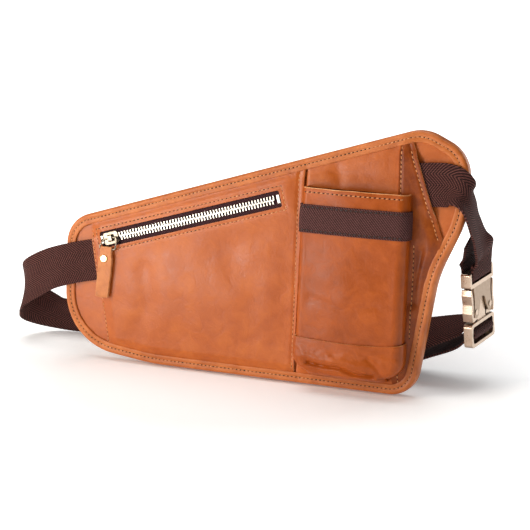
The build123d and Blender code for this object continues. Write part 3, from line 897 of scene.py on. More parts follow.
# ------------------------------------------------------------------ the body of the pack
@dataclass
class PackBody:
    """Base, padding, back and the three front panels, with the binding round them."""

    frames: PackFrames
    finishes: Finishes
    outline: Outline
    leather: float = 1.4
    panel_inset: float = 6.2
    front_top: float = 4.75
    mid_top: float = 3.9
    binding_low: float = 1.35
    binding_high: float = 2.75
    stitch_inset: float = 4.4
    strip_width: float = 24.0
    back_stitch_height: float = -7.72
    lining_share: float = 0.9
    left_seam: Line = ((-136.4, 97.6), (-120.7, 12.3))
    mid_seam: float = 33.7
    mid_gap: float = 1.8
    side_seam: Line = ((101.5, 175.1), (106.8, 9.0))
    strap_seam: Line = ((113.7, 176.0), (136.6, 113.9))
    zip_centre: Point2 = (-54.5, 111.0)
    zip_degrees: float = 17.0
    zip_half: Point2 = (74.3, 6.1)
    hidden_centre: Point2 = (69.2, 139.5)
    hidden_half: Point2 = (31.2, 3.2)

    def __post_init__(self) -> None:
        crossing = self.outline.crossing
        self.wing_spans = (
            (crossing(self.left_seam, False), crossing(self.left_seam, True)),
            (crossing(self.strap_seam, True), crossing(self.strap_seam, False)),
        )

    # -------- shapes that several pieces share
    @staticmethod
    def line_u(line: Line, v: float) -> float:
        """Where a seam's line is at height v."""
        (u0, v0), (u1, v1) = line
        return u0 + (u1 - u0) * (v - v0) / (v1 - v0)

    @staticmethod
    def upright(u: float) -> Line:
        """The upright line at u."""
        return ((u, 0.0), (u, 100.0))

    def foam_face(self, u: float, v: float) -> float:
        """Height of the foam's rear face, just inside the back hide."""
        return self.back_face(u, v) + self.leather + 0.1

    def on_zip(self, u: float, v: float) -> Point2:
        """Place along and across the slanted zip."""
        turn = math.radians(self.zip_degrees)
        du, dv = u - self.zip_centre[0], v - self.zip_centre[1]
        return (du * math.cos(turn) + dv * math.sin(turn), dv * math.cos(turn) - du * math.sin(turn))

    def wing(self, length: float) -> float:
        """1 where only the base lies under the binding, 0 where a front panel does too."""
        total = self.outline.total
        best = 0.0
        for start, end in self.wing_spans:
            span = (end - start) % total
            place = (length - start) % total
            inside = min(place, span - place) if place <= span else -min(place - span, total - place)
            best = max(best, smoothstep(inside, -7.0, 9.0))
        return best

    def rim_rise(self, u: float, v: float) -> float:
        """0 where a front panel goes under the binding, 1 well inside it."""
        return smoothstep(self.outline.depth(u, v), 6.0, 14.0)

    def zip_face(self, u: float, v: float) -> float:
        """Height of the zip panel's face."""
        left = (u - self.line_u(self.left_seam, v)) * 0.98
        strap = smoothstep(v, 52.0, 59.0) * (1.0 - smoothstep(v, 88.0, 95.0))
        low = lerp(1.75, 4.35, strap)
        along, across = self.on_zip(u, v)
        window = max(abs(along) - self.zip_half[0], abs(across) - self.zip_half[1], 0.0)
        calm = smoothstep(window, 2.0, 22.0)
        sag = (0.8 * (1.0 - ripple(u, v, 46.0, 7.3)) + 0.25 * (1.0 - ripple(u, v, 17.0, 4.9))) * calm
        sag += 0.9 * calm * bump(distance_to_run((u, v), [(-96.0, 14.0), (-84.0, 48.0), (-88.0, 70.0)]), 9.0)
        sag += 0.5 * calm * bump(distance_to_run((u, v), [(-20.0, 88.0), (-2.0, 60.0), (-6.0, 30.0)]), 12.0)
        belly = 1.9 * bump(distance_to_run((u, v), [(-92.0, 48.0), (-8.0, 62.0)]), 34.0) * calm
        top = self.front_top + belly - sag
        top = lerp(low, top, smoothstep(left, 0.0, 11.0))
        top = lerp(2.0, top, self.rim_rise(u, v))
        top -= 0.45 * bump(left - 2.3, 0.9) * (1.0 - 0.4 * strap)
        top -= 0.5 * bump(self.mid_seam - u - 4.0, 1.0)
        return top - 0.22 * bump(window - 2.5, 0.8)

    def mid_face(self, u: float, v: float) -> float:
        """Height of the mid panel's face."""
        sag = 0.7 * (1.0 - ripple(u, v, 26.0, 2.9)) * smoothstep(v, 146.0, 156.0)
        fold = 0.7 * bump(distance_to_run((u, v), [(52.0, 172.0), (60.0, 150.0)]), 5.0)
        fold += 2.6 * bump(u - self.mid_seam, 1.5)
        return lerp(2.0, self.mid_top - sag - fold, self.rim_rise(u, v))

    def side_face(self, u: float, v: float) -> float:
        """Height of the side panel's face."""
        left = u - self.line_u(self.side_seam, v)
        right = (self.line_u(self.strap_seam, v) - u) * 0.94 if v > 108.0 else 60.0
        strap = smoothstep(v, 126.0, 134.0) * (1.0 - smoothstep(v, 168.0, 174.0))
        sag = 0.35 * (1.0 - ripple(u, v, 32.0, 5.1)) * smoothstep(left, 4.0, 14.0)
        sag += 2.3 * bump(distance_to_run((u, v), [(121.5, 104.0), (119.0, 84.0), (119.5, 68.0)]), 4.0)
        top = lerp(lerp(1.9, 4.45, strap), self.front_top + 0.15 - sag, smoothstep(right, 0.0, 10.0))
        top = lerp(2.0, top, self.rim_rise(u, v))
        top -= 0.45 * bump(left - 3.2, 0.9)
        return top - 0.45 * bump(right - 3.2, 0.9)

    def base_face(self, u: float, v: float) -> float:
        """Height of the base panel's face."""
        return 0.25 * ripple(u, v, 30.0, 1.7) * self.rim_rise(u, v)

    def back_face(self, u: float, v: float) -> float:
        """Height of the back's face, which swells inside the binding."""
        swell = smoothstep(self.outline.depth(u, v), 7.0, 17.0)
        return lerp(-6.9, -8.05 + 0.18 * ripple(u, v, 34.0, 8.2), swell)

    def binding_face(self, u: float, v: float) -> float:
        """Height of the binding's front face along its stitches."""
        index = self.outline.tree.find(Vector((u, v, 0.0)))[1]
        return lerp(self.binding_high, self.binding_low, self.wing(self.outline.lengths[index])) - 0.33

    # -------- patches
    def whole_patch(self, inset: float) -> Patch:
        """The whole outline as a patch."""
        marks = [self.outline.lengths[self.outline.tree.find(Vector((u, v, 0.0)))[1]]
                 for u, v in ((-152.0, 99.0), (148.0, 174.0), (116.0, 3.0), (-143.0, 16.0))]
        top_left, top_right, low_right, low_left = marks
        return Patch(
            bottom=self.outline.run(low_left, low_right, inset, forwards=False),
            top=self.outline.run(top_left, top_right, inset),
            left=self.outline.run(low_left, top_left, inset),
            right=self.outline.run(low_right, top_right, inset, forwards=False),
        )

    def patch_between(self, left: tuple[Point2, Point2], right: tuple[Point2, Point2]) -> Patch:
        """The panel between two seam lines."""
        outline, inset = self.outline, self.panel_inset
        low_left, high_left = (outline.crossing(left, upper) for upper in (False, True))
        low_right, high_right = (outline.crossing(right, upper) for upper in (False, True))
        bottom = outline.run(low_left, low_right, inset, forwards=False)
        top = outline.run(high_left, high_right, inset)
        return Patch(bottom, top, [bottom[0], top[0]], [bottom[-1], top[-1]])

    def side_patch(self) -> Patch:
        """The side panel, whose right edge is a slanted seam and then the rim."""
        outline, inset = self.outline, self.panel_inset
        low_left, high_left = (outline.crossing(self.side_seam, upper) for upper in (False, True))
        high_right, turn = (outline.crossing(self.strap_seam, upper) for upper in (True, False))
        corner = outline.lengths[outline.tree.find(Vector((117.0, 2.0, 0.0)))[1]]
        bottom = outline.run(low_left, corner, inset, forwards=False)
        top = outline.run(high_left, high_right, inset)
        rim = outline.run(corner, turn, inset, forwards=False)
        right = [p for k, p in enumerate(rim) if k % 2 == 0 and p[1] < self.strap_seam[1][1] - 3.0]
        right += [(self.line_u(self.strap_seam, v), v) for v in range(114, int(top[-1][1]), 2)] + [top[-1]]
        right[0] = bottom[-1]
        return Patch(bottom, top, [bottom[0], top[0]], right)

    def cut_window(
        self, bm: bmesh.types.BMesh, to_window: Plot, half: Point2, turn: float, centre: Point2
    ) -> None:
        """Cut a window with eased corners out of a sheet.

        Args:
            bm: The sheet.
            to_window: Gives the place along and across the window for u and v.
            half: The window's half length and half width.
            turn: The window's turn, in degrees.
            centre: The window's centre.
        """
        spin = Matrix.Rotation(math.radians(turn), 2)
        middle = Vector(centre)
        ease = 1.0
        lines = [((half[0], 0.0), (1.0, 0.0)), ((-half[0], 0.0), (1.0, 0.0)),
                 ((0.0, half[1]), (0.0, 1.0)), ((0.0, -half[1]), (0.0, 1.0))]
        lines += [
            ((sx * (half[0] - ease / 2), sy * (half[1] - ease / 2)), (sx, sy))
            for sx in (1, -1) for sy in (1, -1)
        ]
        for point, normal in lines:
            near = [f for f in bm.faces if self._inside(to_window(*f.calc_center_median()[:2]), half, 2.5)]
            geom = list({item for f in near for item in (f, *f.edges, *f.verts)})
            where = middle + spin @ Vector(point)
            facing = spin @ Vector(normal)
            bmesh.ops.bisect_plane(bm, geom=geom, plane_co=where.to_3d(), plane_no=facing.to_3d(), dist=0.001)

        def eased(place: Point2) -> bool:
            """Inside the window with its corners cut off."""
            return self._inside(place, half, 0.0) and (
                half[0] - abs(place[0]) + half[1] - abs(place[1]) > ease
            )

        gone = [f for f in bm.faces if eased(to_window(*f.calc_center_median()[:2]))]
        bmesh.ops.delete(bm, geom=gone, context="FACES")

    @staticmethod
    def _inside(place: Point2, half: Point2, margin: float) -> bool:
        """True inside a box with a margin round it."""
        return abs(place[0]) < half[0] + margin and abs(place[1]) < half[1] + margin

    # -------- pieces
    def build(self) -> None:
        """Make every piece of the body."""
        self.build_stack()
        self.build_panels()
        self.build_binding()
        self.build_seams()

    def build_stack(self) -> None:
        """Base panel, foam, lining and back."""
        panel, finishes = self.frames.panel, self.finishes
        base = self.whole_patch(2.2).sheet(150, 90, self.base_face)
        piece = make_piece(
            base, "base_leather", [finishes.leather, finishes.raw_edge], panel, thickness=self.leather
        )
        settle(piece, PACK, "leather", "base_panel")

        back = self.whole_patch(2.2).sheet(150, 90, self.back_face)
        bmesh.ops.reverse_faces(back, faces=back.faces)
        piece = make_piece(
            back, "back_leather", [finishes.back_leather, finishes.raw_edge], panel, thickness=self.leather
        )
        settle(piece, PACK, "leather", "back_panel")

        foam = self.whole_patch(2.6).sheet(90, 60, self.foam_face)
        bmesh.ops.reverse_faces(foam, faces=foam.faces)
        piece = make_piece(foam, "foam_padding", [finishes.foam], panel, thickness=3.7, edge_round=0.8)
        settle(piece, PACK, "foam", "padding")

        patch = self.patch_between(self.left_seam, self.upright(self.mid_seam))
        middle = patch.point(0.5, 0.5)

        def shrink(run: Sequence[Point2]) -> list[Point2]:
            """A run drawn in towards the lining's middle."""
            return [tuple(middle + (Vector(p) - middle) * self.lining_share) for p in run]

        small = Patch(*(shrink(run) for run in (patch.bottom, patch.top, patch.left, patch.right)))
        cloth = small.sheet(60, 40, lambda u, v: 0.75 + 0.12 * ripple(u, v, 18.0, 4.4))
        area = sum(f.calc_area() for f in cloth.faces) * MM * MM
        corners = [Vector(p) for run in (small.bottom, small.top) for p in run]
        piece = make_piece(cloth, "front_pocket_lining", [finishes.lining], panel, thickness=0.3)
        settle(piece, PACK, "lining", "front_lining")

    def build_panels(self) -> None:
        """Zip panel, mid panel and side panel, each with its raw edges showing."""
        panel, finishes = self.frames.panel, self.finishes
        mid_line = self.upright(self.mid_seam)
        gap_line = self.upright(self.mid_seam - self.mid_gap)
        zip_sheet = self.patch_between(self.left_seam, gap_line).sheet(150, 115, self.zip_face)
        self.cut_window(zip_sheet, self.on_zip, self.zip_half, self.zip_degrees, self.zip_centre)
        mid_sheet = self.patch_between(mid_line, self.side_seam).sheet(56, 130, self.mid_face)
        cu, cv = self.hidden_centre
        self.cut_window(mid_sheet, lambda u, v: (u - cu, v - cv), self.hidden_half, 0.0, self.hidden_centre)
        side_sheet = self.side_patch().sheet(30, 150, self.side_face)
        for sheet, name, hide, node in (
            (zip_sheet, "zip_panel_leather", finishes.leather, "zip_panel"),
            (mid_sheet, "mid_panel_leather", finishes.leather, "mid_panel"),
            # the side panel takes the darker hide of painted shade
            (side_sheet, "side_panel_leather", finishes.shaded_side_leather, "side_panel"),
        ):
            piece = make_piece(
                sheet, name, [hide, finishes.raw_edge], panel, thickness=self.leather - 0.1, edge_round=0.6
            )
            settle(piece, PACK, "leather", node)

    def build_binding(self) -> None:
        """The strip folded round the edge, thinner where only the base is under it."""
        section = (
            (8.0, -0.2, 1.0), (8.05, 1.0, 0.7), (7.75, 1.32, 1.0), (6.9, 1.42, 1.0), (5.6, 1.35, 1.0),
            (4.9, 1.1, 1.0), (4.4, 0.98, 1.0), (3.9, 1.1, 1.0), (3.2, 1.35, 1.0), (2.2, 1.38, 1.0),
            (1.3, 1.15, 1.0), (0.6, 0.6, 0.8), (0.15, -0.4, 0.4), (0.0, -1.8, 0.1), (0.0, -3.4, 0.0),
            (0.0, -5.0, 0.0), (0.15, -6.2, 0.0), (0.6, -7.1, 0.0), (1.4, -7.7, 0.0), (2.4, -7.95, 0.0),
            (3.4, -7.9, 0.0), (4.4, -7.6, 0.0), (5.4, -7.9, 0.0), (6.8, -7.95, 0.0), (7.8, -7.8, 0.0),
            (8.0, -6.6, 0.0),
        )
        outline = self.outline
        joins = [
            outline.crossing(((31.5, 0.0), (32.0, 100.0)), True),
            outline.crossing(((35.5, 0.0), (35.0, 100.0)), False),
        ]
        around = int(outline.total / 1.4)
        rises = [
            (self.binding_high - self.binding_low) * (1.0 - self.wing(i * outline.total / around))
            for i in range(around + 1)
        ]

        def place(s: float, t: float) -> Vector:
            """One vertex of the strip."""
            length = s * outline.total
            inset, height, lifts = section[round(t * (len(section) - 1))]
            turn, reach = s * math.tau, outline.total / 2
            wave = noise.noise(Vector((math.cos(turn) * 24.0, math.sin(turn) * 24.0, inset * 0.12)))
            join = max(bump((length - mark + reach) % outline.total - reach, 0.9) for mark in joins)
            front = 1.0 if height > 0.3 else 0.0
            inset += 0.22 * wave * (inset > 6.5)
            height += rises[round(s * around)] * lifts + front * (0.12 * wave - 0.4 * join)
            u, v = outline.at(length, inset)
            return Vector((u, v, height))

        def uv(s: float, t: float) -> Point2:
            """Length along and across the strip, in metres."""
            return (s * outline.total * MM, t * self.strip_width * MM)

        strip = mapped_grid(around, len(section) - 1, place, uv)
        join_ring(strip)
        face_out(strip)
        piece = make_piece(
            strip, "edge_binding_strip", [self.finishes.binding, self.finishes.raw_edge], self.frames.panel,
            thickness=0.8, edge_round=0.2, sharp_degrees=55.0,
        )
        settle(piece, PACK, "leather", "edge_binding")

    def build_seams(self) -> None:
        """The thread rows of the binding and of the panels."""
        finishes, outline = self.finishes, self.outline
        rows = SeamSet("body_seam", finishes.thread, finishes.hole)
        rim = outline.run(0.0, outline.total - 0.1, self.stitch_inset)
        rows.row(rim, self.binding_face, Seam(pitch=3.1, length=2.5, width=1.05))
        rows.row(rim, lambda u, v: self.back_stitch_height, Seam(pitch=3.1, length=2.3))

        def seam_run(line: Line, shift: float, low: float, high: float) -> list[Point2]:
            """A line beside a seam."""
            return [(self.line_u(line, v) + shift, v) for v in (low, high)]

        mid_line = self.upright(self.mid_seam)
        rows.row(seam_run(self.left_seam, 2.3, 9.8, 98.0), self.zip_face)
        rows.row(seam_run(mid_line, -4.0, 8.4, 155.0), self.zip_face)
        rows.row(seam_run(self.side_seam, 3.2, 8.4, 177.0), self.side_face)
        rows.row(seam_run(self.strap_seam, -3.4, 112.0, 174.0), self.side_face)
        turn = math.radians(self.zip_degrees)
        reach_u, reach_v = self.zip_half[0] + 2.6, self.zip_half[1] + 2.6
        corners = [
            (-reach_u, -reach_v), (-reach_u, reach_v), (reach_u, reach_v), (reach_u, -reach_v),
            (-reach_u, -reach_v),
        ]
        frame_run = [
            (self.zip_centre[0] + a * math.cos(turn) - c * math.sin(turn),
             self.zip_centre[1] + a * math.sin(turn) + c * math.cos(turn))
            for a, c in corners
        ]
        for start, end in zip(frame_run, frame_run[1:]):
            rows.row([start, end], self.zip_face)
        rows.finish(self.frames.panel, PACK)


# ------------------------------------------------------------------ zips and pull
@dataclass(frozen=True)
class TapeRun:
    """Where a zip's two tapes lie on the panels.

    Attributes:
        centre: The zip's centre.
        degrees: The zip's turn.
        half: Half the tapes' length.
        width: Each tape's width.
        height: Height of their faces.
        near: Distance of a tape's inner edge from the zip's middle.
    """

    centre: Point2
    degrees: float
    half: float
    width: float
    height: float
    near: float = 0.5


@dataclass
class Zips:
    """The slanted zip with its leather pull, and the small zip behind the pocket's top edge."""

    frames: PackFrames
    finishes: Finishes
    body: PackBody
    ring_height: float = 6.9
    tab_layer: float = 1.3

    def build(self) -> None:
        """Make the tapes and the tab, and dress the metal."""
        self.build_tapes()
        self.build_tab()
        self.dress_metal()

    @staticmethod
    def tape(run: TapeRun, side: int) -> bmesh.types.BMesh:
        """One woven tape, face out, with the cord ridge that the teeth are clamped on.

        Args:
            run: Where the zip's tapes lie.
            side: 1 for the upper tape, -1 for the lower.

        Returns:
            The mesh.
        """
        turn, half, width = math.radians(run.degrees), run.half, run.width

        def place(s: float, t: float) -> Vector:
            """One vertex."""
            along, across = (s - 0.5) * 2 * half, side * (run.near + t * width)
            ridge = 0.12 * bump(t * width - 1.6, 0.7) - 2.0 * smoothstep(t * width, 6.3, 9.4)
            ridge -= 1.6 * smoothstep(abs(along), half - 2.2, half)
            return Vector((
                run.centre[0] + along * math.cos(turn) - across * math.sin(turn),
                run.centre[1] + along * math.sin(turn) + across * math.cos(turn),
                run.height + ridge + 0.05 * ripple(along, across, 9.0, 6.0),
            ))

        bm = mapped_grid(int(half), 10, place, lambda s, t: (s * 2 * half * MM, t * width * MM))
        if side < 0:
            bmesh.ops.reverse_faces(bm, faces=bm.faces)
        return bm

    def build_tapes(self) -> None:
        """The four tapes."""
        panel, tape = self.frames.panel, self.finishes.tape
        slanted = TapeRun(self.body.zip_centre, self.body.zip_degrees, half=76.5, width=10.6, height=3.45)
        for name, side in (("upper", 1), ("lower", -1)):
            bm = self.tape(slanted, side)
            piece = make_piece(bm, f"front_zip_tape_{name}_weave", [tape], panel, thickness=0.4)
            settle(piece, PACK, "zip_tape", f"front_zip_tape_{name}")
        hidden = TapeRun(self.body.hidden_centre, 0.0, half=31.5, width=9.0, height=2.65)
        both = self.tape(hidden, 1)
        pour(self.tape(hidden, -1), both)
        piece = make_piece(both, "hidden_zip_tape_weave", [tape], panel, thickness=0.35)
        settle(piece, PACK, "zip_tape", "hidden_zip_tapes")

    def build_tab(self) -> None:
        """The pull tab: two layers of hide riveted together, cut a little unevenly."""
        left = [(-127.4, 47.6), (-126.5, 62.0), (-125.4, 76.0), (-124.4, 79.5), (-124.1, 85.2)]
        right = [(-117.2, 47.2), (-115.6, 62.0), (-114.6, 76.0), (-115.2, 79.5), (-115.0, 85.2)]
        patch = Patch([left[0], (-122.4, 46.9), right[0]], [left[-1], (-119.6, 85.5), right[-1]], left, right)
        layers = bmesh.new()
        for top in (self.ring_height + self.tab_layer + 0.06, self.ring_height - 0.06):
            def height(u: float, v: float, top: float = top) -> float:
                """The tab's gentle wave, and its edges' fall."""
                return top + 0.14 * ripple(u, v, 9.0, top) * smoothstep(82.0 - v, 0.0, 8.0)

            sheet = patch.sheet(12, 40, height)
            for vert in sheet.verts:
                edge = 0.12 * noise.noise(Vector((vert.co.x * 0.9, vert.co.y * 0.55, top)))
                vert.co.x += edge * (1.0 if vert.co.x > -120.5 else -0.4)
            pour(sheet, layers)
        piece = make_piece(
            layers, "pull_tab_leather", [self.finishes.tab_leather, self.finishes.raw_edge],
            self.frames.panel, thickness=self.tab_layer, edge_round=0.35,
        )
        settle(piece, "front_tab", "leather", "front_pull_tab")

    def dress_metal(self) -> None:
        """Plate the teeth, stops, sliders, ring, puller and rivet."""
        for node in (
            "front_zip_teeth_upper", "front_zip_teeth_lower", "front_zip_stops", "hidden_zip_teeth",
            "hidden_zip_slider", "hidden_zip_puller",
        ):
            dress(node, self.finishes.zip_metal)
        # the slider and ring take the plating darkened as painted shade
        for node in ("front_zip_slider", "front_pull_ring"):
            dress(node, self.finishes.slider)
        dress("pull_rivet", self.finishes.rivet)


def dress(node: str, material: bpy.types.Material) -> None:
    """Give a CAD node its finish."""
    obj = FRAME["nodes"][node]
    obj.data.materials.clear()
    obj.data.materials.append(material)
    LOG.info("node %s wears %s", node, material.name)


# ------------------------------------------------------------------ phone pocket
@dataclass
class PhonePocket:
    """The standing pocket: its front, the moulded boot round its foot and the twill band."""

    frames: PackFrames
    finishes: Finishes
    body: PackBody
    left: float = 36.0
    right: float = 114.5
    low: float = 24.0
    high: float = 143.7
    front: float = 16.3
    boot_high: float = 37.2
    band_low: float = 112.0
    band_high: float = 132.0
    stations: int = 90

    def section(self, share: float, left: float, right: float, front: float, foot: float) -> Point2:
        """A point on the pocket's outer section.

        Args:
            share: 0 at the left foot, 1 at the right foot.
            left: u of the left wall.
            right: u of the right wall.
            front: Height of the face.
            foot: Height of the feet.

        Returns:
            u and height.
        """
        left_round, right_round = min(4.2, (front - foot) * 0.8), min(7.0, (front - foot) * 0.9)
        wall_left, wall_right = front - foot - left_round, front - foot - right_round
        arc_left, arc_right = left_round * math.pi / 2, right_round * math.pi / 2
        flat = right - left - left_round - right_round
        legs = (wall_left, arc_left, flat, arc_right, wall_right)
        reach = share * sum(legs)
        if reach < legs[0]:
            return (left, foot + reach)
        reach -= legs[0]
        if reach < legs[1]:
            turn = reach / left_round
            return (left + left_round * (1 - math.cos(turn)), front - left_round * (1 - math.sin(turn)))
        reach -= legs[1]
        if reach < legs[2]:
            crown = 1.7 * math.sin(math.pi * reach / flat) ** 1.3
            return (left + left_round + reach, front + crown)
        reach -= legs[2]
        if reach < legs[3]:
            turn = reach / right_round
            return (right - right_round * (1 - math.sin(turn)), front - right_round * (1 - math.cos(turn)))
        return (right, max(front - right_round - (reach - legs[3]), foot))

    def front_height(self, v: float) -> float:
        """Height of the pocket's face: the mouth leans in a little and the foot is full."""
        high = self.front - 1.6 * smoothstep(v, 118.0, 146.0)
        return high - 0.5 * bump(v - 96.0, 16.0) + 0.2 * bump(v - 55.0, 20.0)

    def dent(self, u: float, v: float) -> float:
        """Soft hollows of the pocket's face."""
        hollow = 0.45 * ripple(u, v, 27.0, 9.4) + 0.18 * ripple(u, v, 11.0, 3.1)
        crease = 0.35 * bump(distance_to_run((u, v), [(46.0, 66.0), (70.0, 60.0), (96.0, 64.0)]), 2.6)
        return (hollow - crease) * smoothstep(self.right - u, 0.0, 12.0) * smoothstep(u - self.left, 0.0, 8.0)

    def foot_height(self, u: float) -> float:
        """Height of the panel that a wall stands on."""
        return 3.5 if u < 100.0 else 4.4

    def pocket_place(self, share: float, v: float, grow: float) -> Vector:
        """A point of the pocket's outer surface, or of a sheet lying on it.

        Args:
            share: From the left foot to the right foot.
            v: Height up the pocket.
            grow: How far outside the pocket's face.

        Returns:
            The point, in panel millimetres.
        """
        foot = lerp(self.foot_height(self.left), self.foot_height(self.right), smoothstep(share, 0.3, 0.7))
        lean = 0.5 * bump(v - self.high, 14.0)
        left, right = self.left - grow + lean, self.right + grow - lean
        u, n = self.section(share, left, right, self.front_height(v) + grow, foot)
        rise = smoothstep(n - foot, 2.0, 9.0)
        return Vector((u, v, n + self.dent(u, v) * rise))

    def build(self) -> None:
        """Make every piece of the pocket."""
        self.build_front()
        self.build_boot()
        self.build_band()
        self.build_seams()

    def build_front(self) -> None:
        """The pocket's leather, with its raw top edge."""
        height = self.high - self.low

        def place(s: float, t: float) -> Vector:
            """One vertex, with the top edge a little uneven."""
            v = self.low + t * height + 0.35 * t**6 * noise.noise(Vector((s * 7.0, 0.0, 2.0)))
            return self.pocket_place(s, v, 0.0)

        sheet = mapped_grid(self.stations, 90, place, lambda s, t: (s * 0.1, t * height * MM))
        face_out(sheet)
        # the pocket wears the darker copy of the hide, painted shade
        piece = make_piece(
            sheet, "pocket_front_leather", [self.finishes.shaded_pocket_leather, self.finishes.raw_edge],
            self.frames.panel, thickness=1.35, edge_round=0.55,
        )
        settle(piece, PACK, "leather", "pocket_body")

    def boot_place(self, s: float, t: float) -> Vector:
        """A point of the boot, from its rim at t = 1 down round its toe at t = 0."""
        profile = ((0.0, 11.2, 0.03), (0.1, 9.6, 0.3), (0.22, 9.8, 0.62), (0.34, 12.2, 0.86),
                   (0.46, 16.5, 0.98),
                   (0.62, 23.0, 1.0), (0.8, 30.0, 1.0), (1.0, self.boot_high, 0.98))
        v = self.table(profile, t, 1)
        fill = self.table(profile, t, 2)
        rim_curve = 1.4 * math.sin(math.pi * s) ** 2 - 1.2 * smoothstep(s, 0.72, 0.95)
        v -= rim_curve * smoothstep(t, 0.45, 1.0)
        foot_left, foot_right = self.foot_height(self.left), self.foot_height(self.right)
        foot = lerp(foot_left, foot_right, smoothstep(s, 0.3, 0.7))
        front = foot + (self.front + 1.8 - foot) * fill
        drop = max(26.0 - v, 0.0)
        pull = 13.0 - math.sqrt(max(13.0**2 - min(drop, 12.9) ** 2, 0.0)) if drop > 0 else 0.0
        left, right = self.left - 1.5 + pull * 0.9, self.right + 1.5 - pull * 1.1
        u, n = self.section(s, left, right, max(front, foot + 0.4), foot)
        full = smoothstep(n - foot, 1.0, 8.0)
        n += full * self.crumple(u, v, t)
        return Vector((u, v, n))

    @staticmethod
    def table(rows: Sequence[Sequence[float]], x: float, column: int) -> float:
        """Read a column of a table by straight interpolation."""
        for a, b in zip(rows, rows[1:]):
            if x <= b[0]:
                return lerp(a[column], b[column], (x - a[0]) / (b[0] - a[0]))
        return rows[-1][column]

    def crumple(self, u: float, v: float, t: float) -> float:
        """Folds of the boot: one long pleat across its toe and softer ones round it."""
        fold = [(47.0, 19.0), (60.0, 17.6), (72.0, 17.8), (82.0, 14.6), (96.0, 14.2)]
        pleat = distance_to_run((u, v), fold)
        above = distance_to_run((u, v), [(44.0, 24.5), (58.0, 22.6), (74.0, 22.8), (90.0, 19.0)])
        right = distance_to_run((u, v), [(92.0, 27.0), (99.0, 21.0), (103.0, 14.0)])
        fall = -2.6 * bump(pleat, 1.4) + 0.9 * bump(above, 3.4) - 1.1 * bump(right, 1.8)
        fine = 0.4 * ripple(u, v * 1.6, 9.0, 12.0) + 0.18 * ripple(u, v * 1.3, 4.0, 15.0)
        return (fall + fine) * (1.0 - smoothstep(t, 0.72, 0.95)) + 0.25 * ripple(u, v, 18.0, 6.6)

    def build_boot(self) -> None:
        """The second hide moulded round the pocket's foot."""
        sheet = mapped_grid(110, 54, self.boot_place, lambda s, t: (s * 0.1, t * 0.04))
        face_out(sheet)
        # the boot wears the same darker copy of the hide, painted shade
        piece = make_piece(
            sheet, "pocket_boot_leather", [self.finishes.shaded_pocket_leather, self.finishes.raw_edge],
            self.frames.panel, thickness=1.3, edge_round=0.5,
        )
        settle(piece, PACK, "leather", "pocket_boot")

    def build_band(self) -> None:
        """The twill band, wrapped round the pocket and down both its sides."""
        width = self.band_high - self.band_low

        def place(s: float, t: float) -> Vector:
            """One vertex, with the band's edges drawn down by their stitches."""
            v = self.band_low + t * width
            edge = bump(t * width - 1.7, 0.8) + bump((1 - t) * width - 1.7, 0.8)
            return self.pocket_place(s, v, 1.25 - 0.3 * edge)

        sheet = mapped_grid(self.stations + 20, 26, place, lambda s, t: (s * 0.102, t * width * MM))
        face_out(sheet)
        piece = make_piece(
            sheet, "pocket_twill_band", [self.finishes.band], self.frames.panel, thickness=1.1, edge_round=0.3
        )
        settle(piece, PACK, "webbing", "pocket_band")

    def face_height(self, u: float, v: float, grow: float) -> float:
        """Height of the pocket's face, or of a sheet on it, above a place."""
        low_share, high_share = 0.0, 1.0
        for _ in range(18):
            middle = (low_share + high_share) / 2
            if self.pocket_place(middle, v, grow).x < u:
                low_share = middle
            else:
                high_share = middle
        return self.pocket_place(low_share, v, grow).z

    def build_seams(self) -> None:
        """The hem's row, and the band's two dark rows."""
        hem = SeamSet("pocket_seam", self.finishes.thread, self.finishes.hole)
        hem_run = [(self.left + 3.0, self.high - 3.3), (self.right - 3.0, self.high - 3.3)]
        hem.row(hem_run, lambda u, v: self.face_height(u, v, 0.0))
        hem.row([(self.right + 2.6, 42.0), (self.right + 2.6, 109.0)], self.body.side_face)
        hem.finish(self.frames.panel, PACK)
        band = SeamSet("band_seam", self.finishes.dark_thread, self.finishes.hole)
        for v in (self.band_low + 1.8, self.band_high - 1.8):
            band.row(
                [(self.left + 1.0, v), (self.right - 2.0, v)], lambda u, w: self.face_height(u, w, 1.15),
                Seam(pitch=3.5, length=2.4, width=1.1, hole=0.9),
            )
        band.finish(self.frames.panel, PACK)


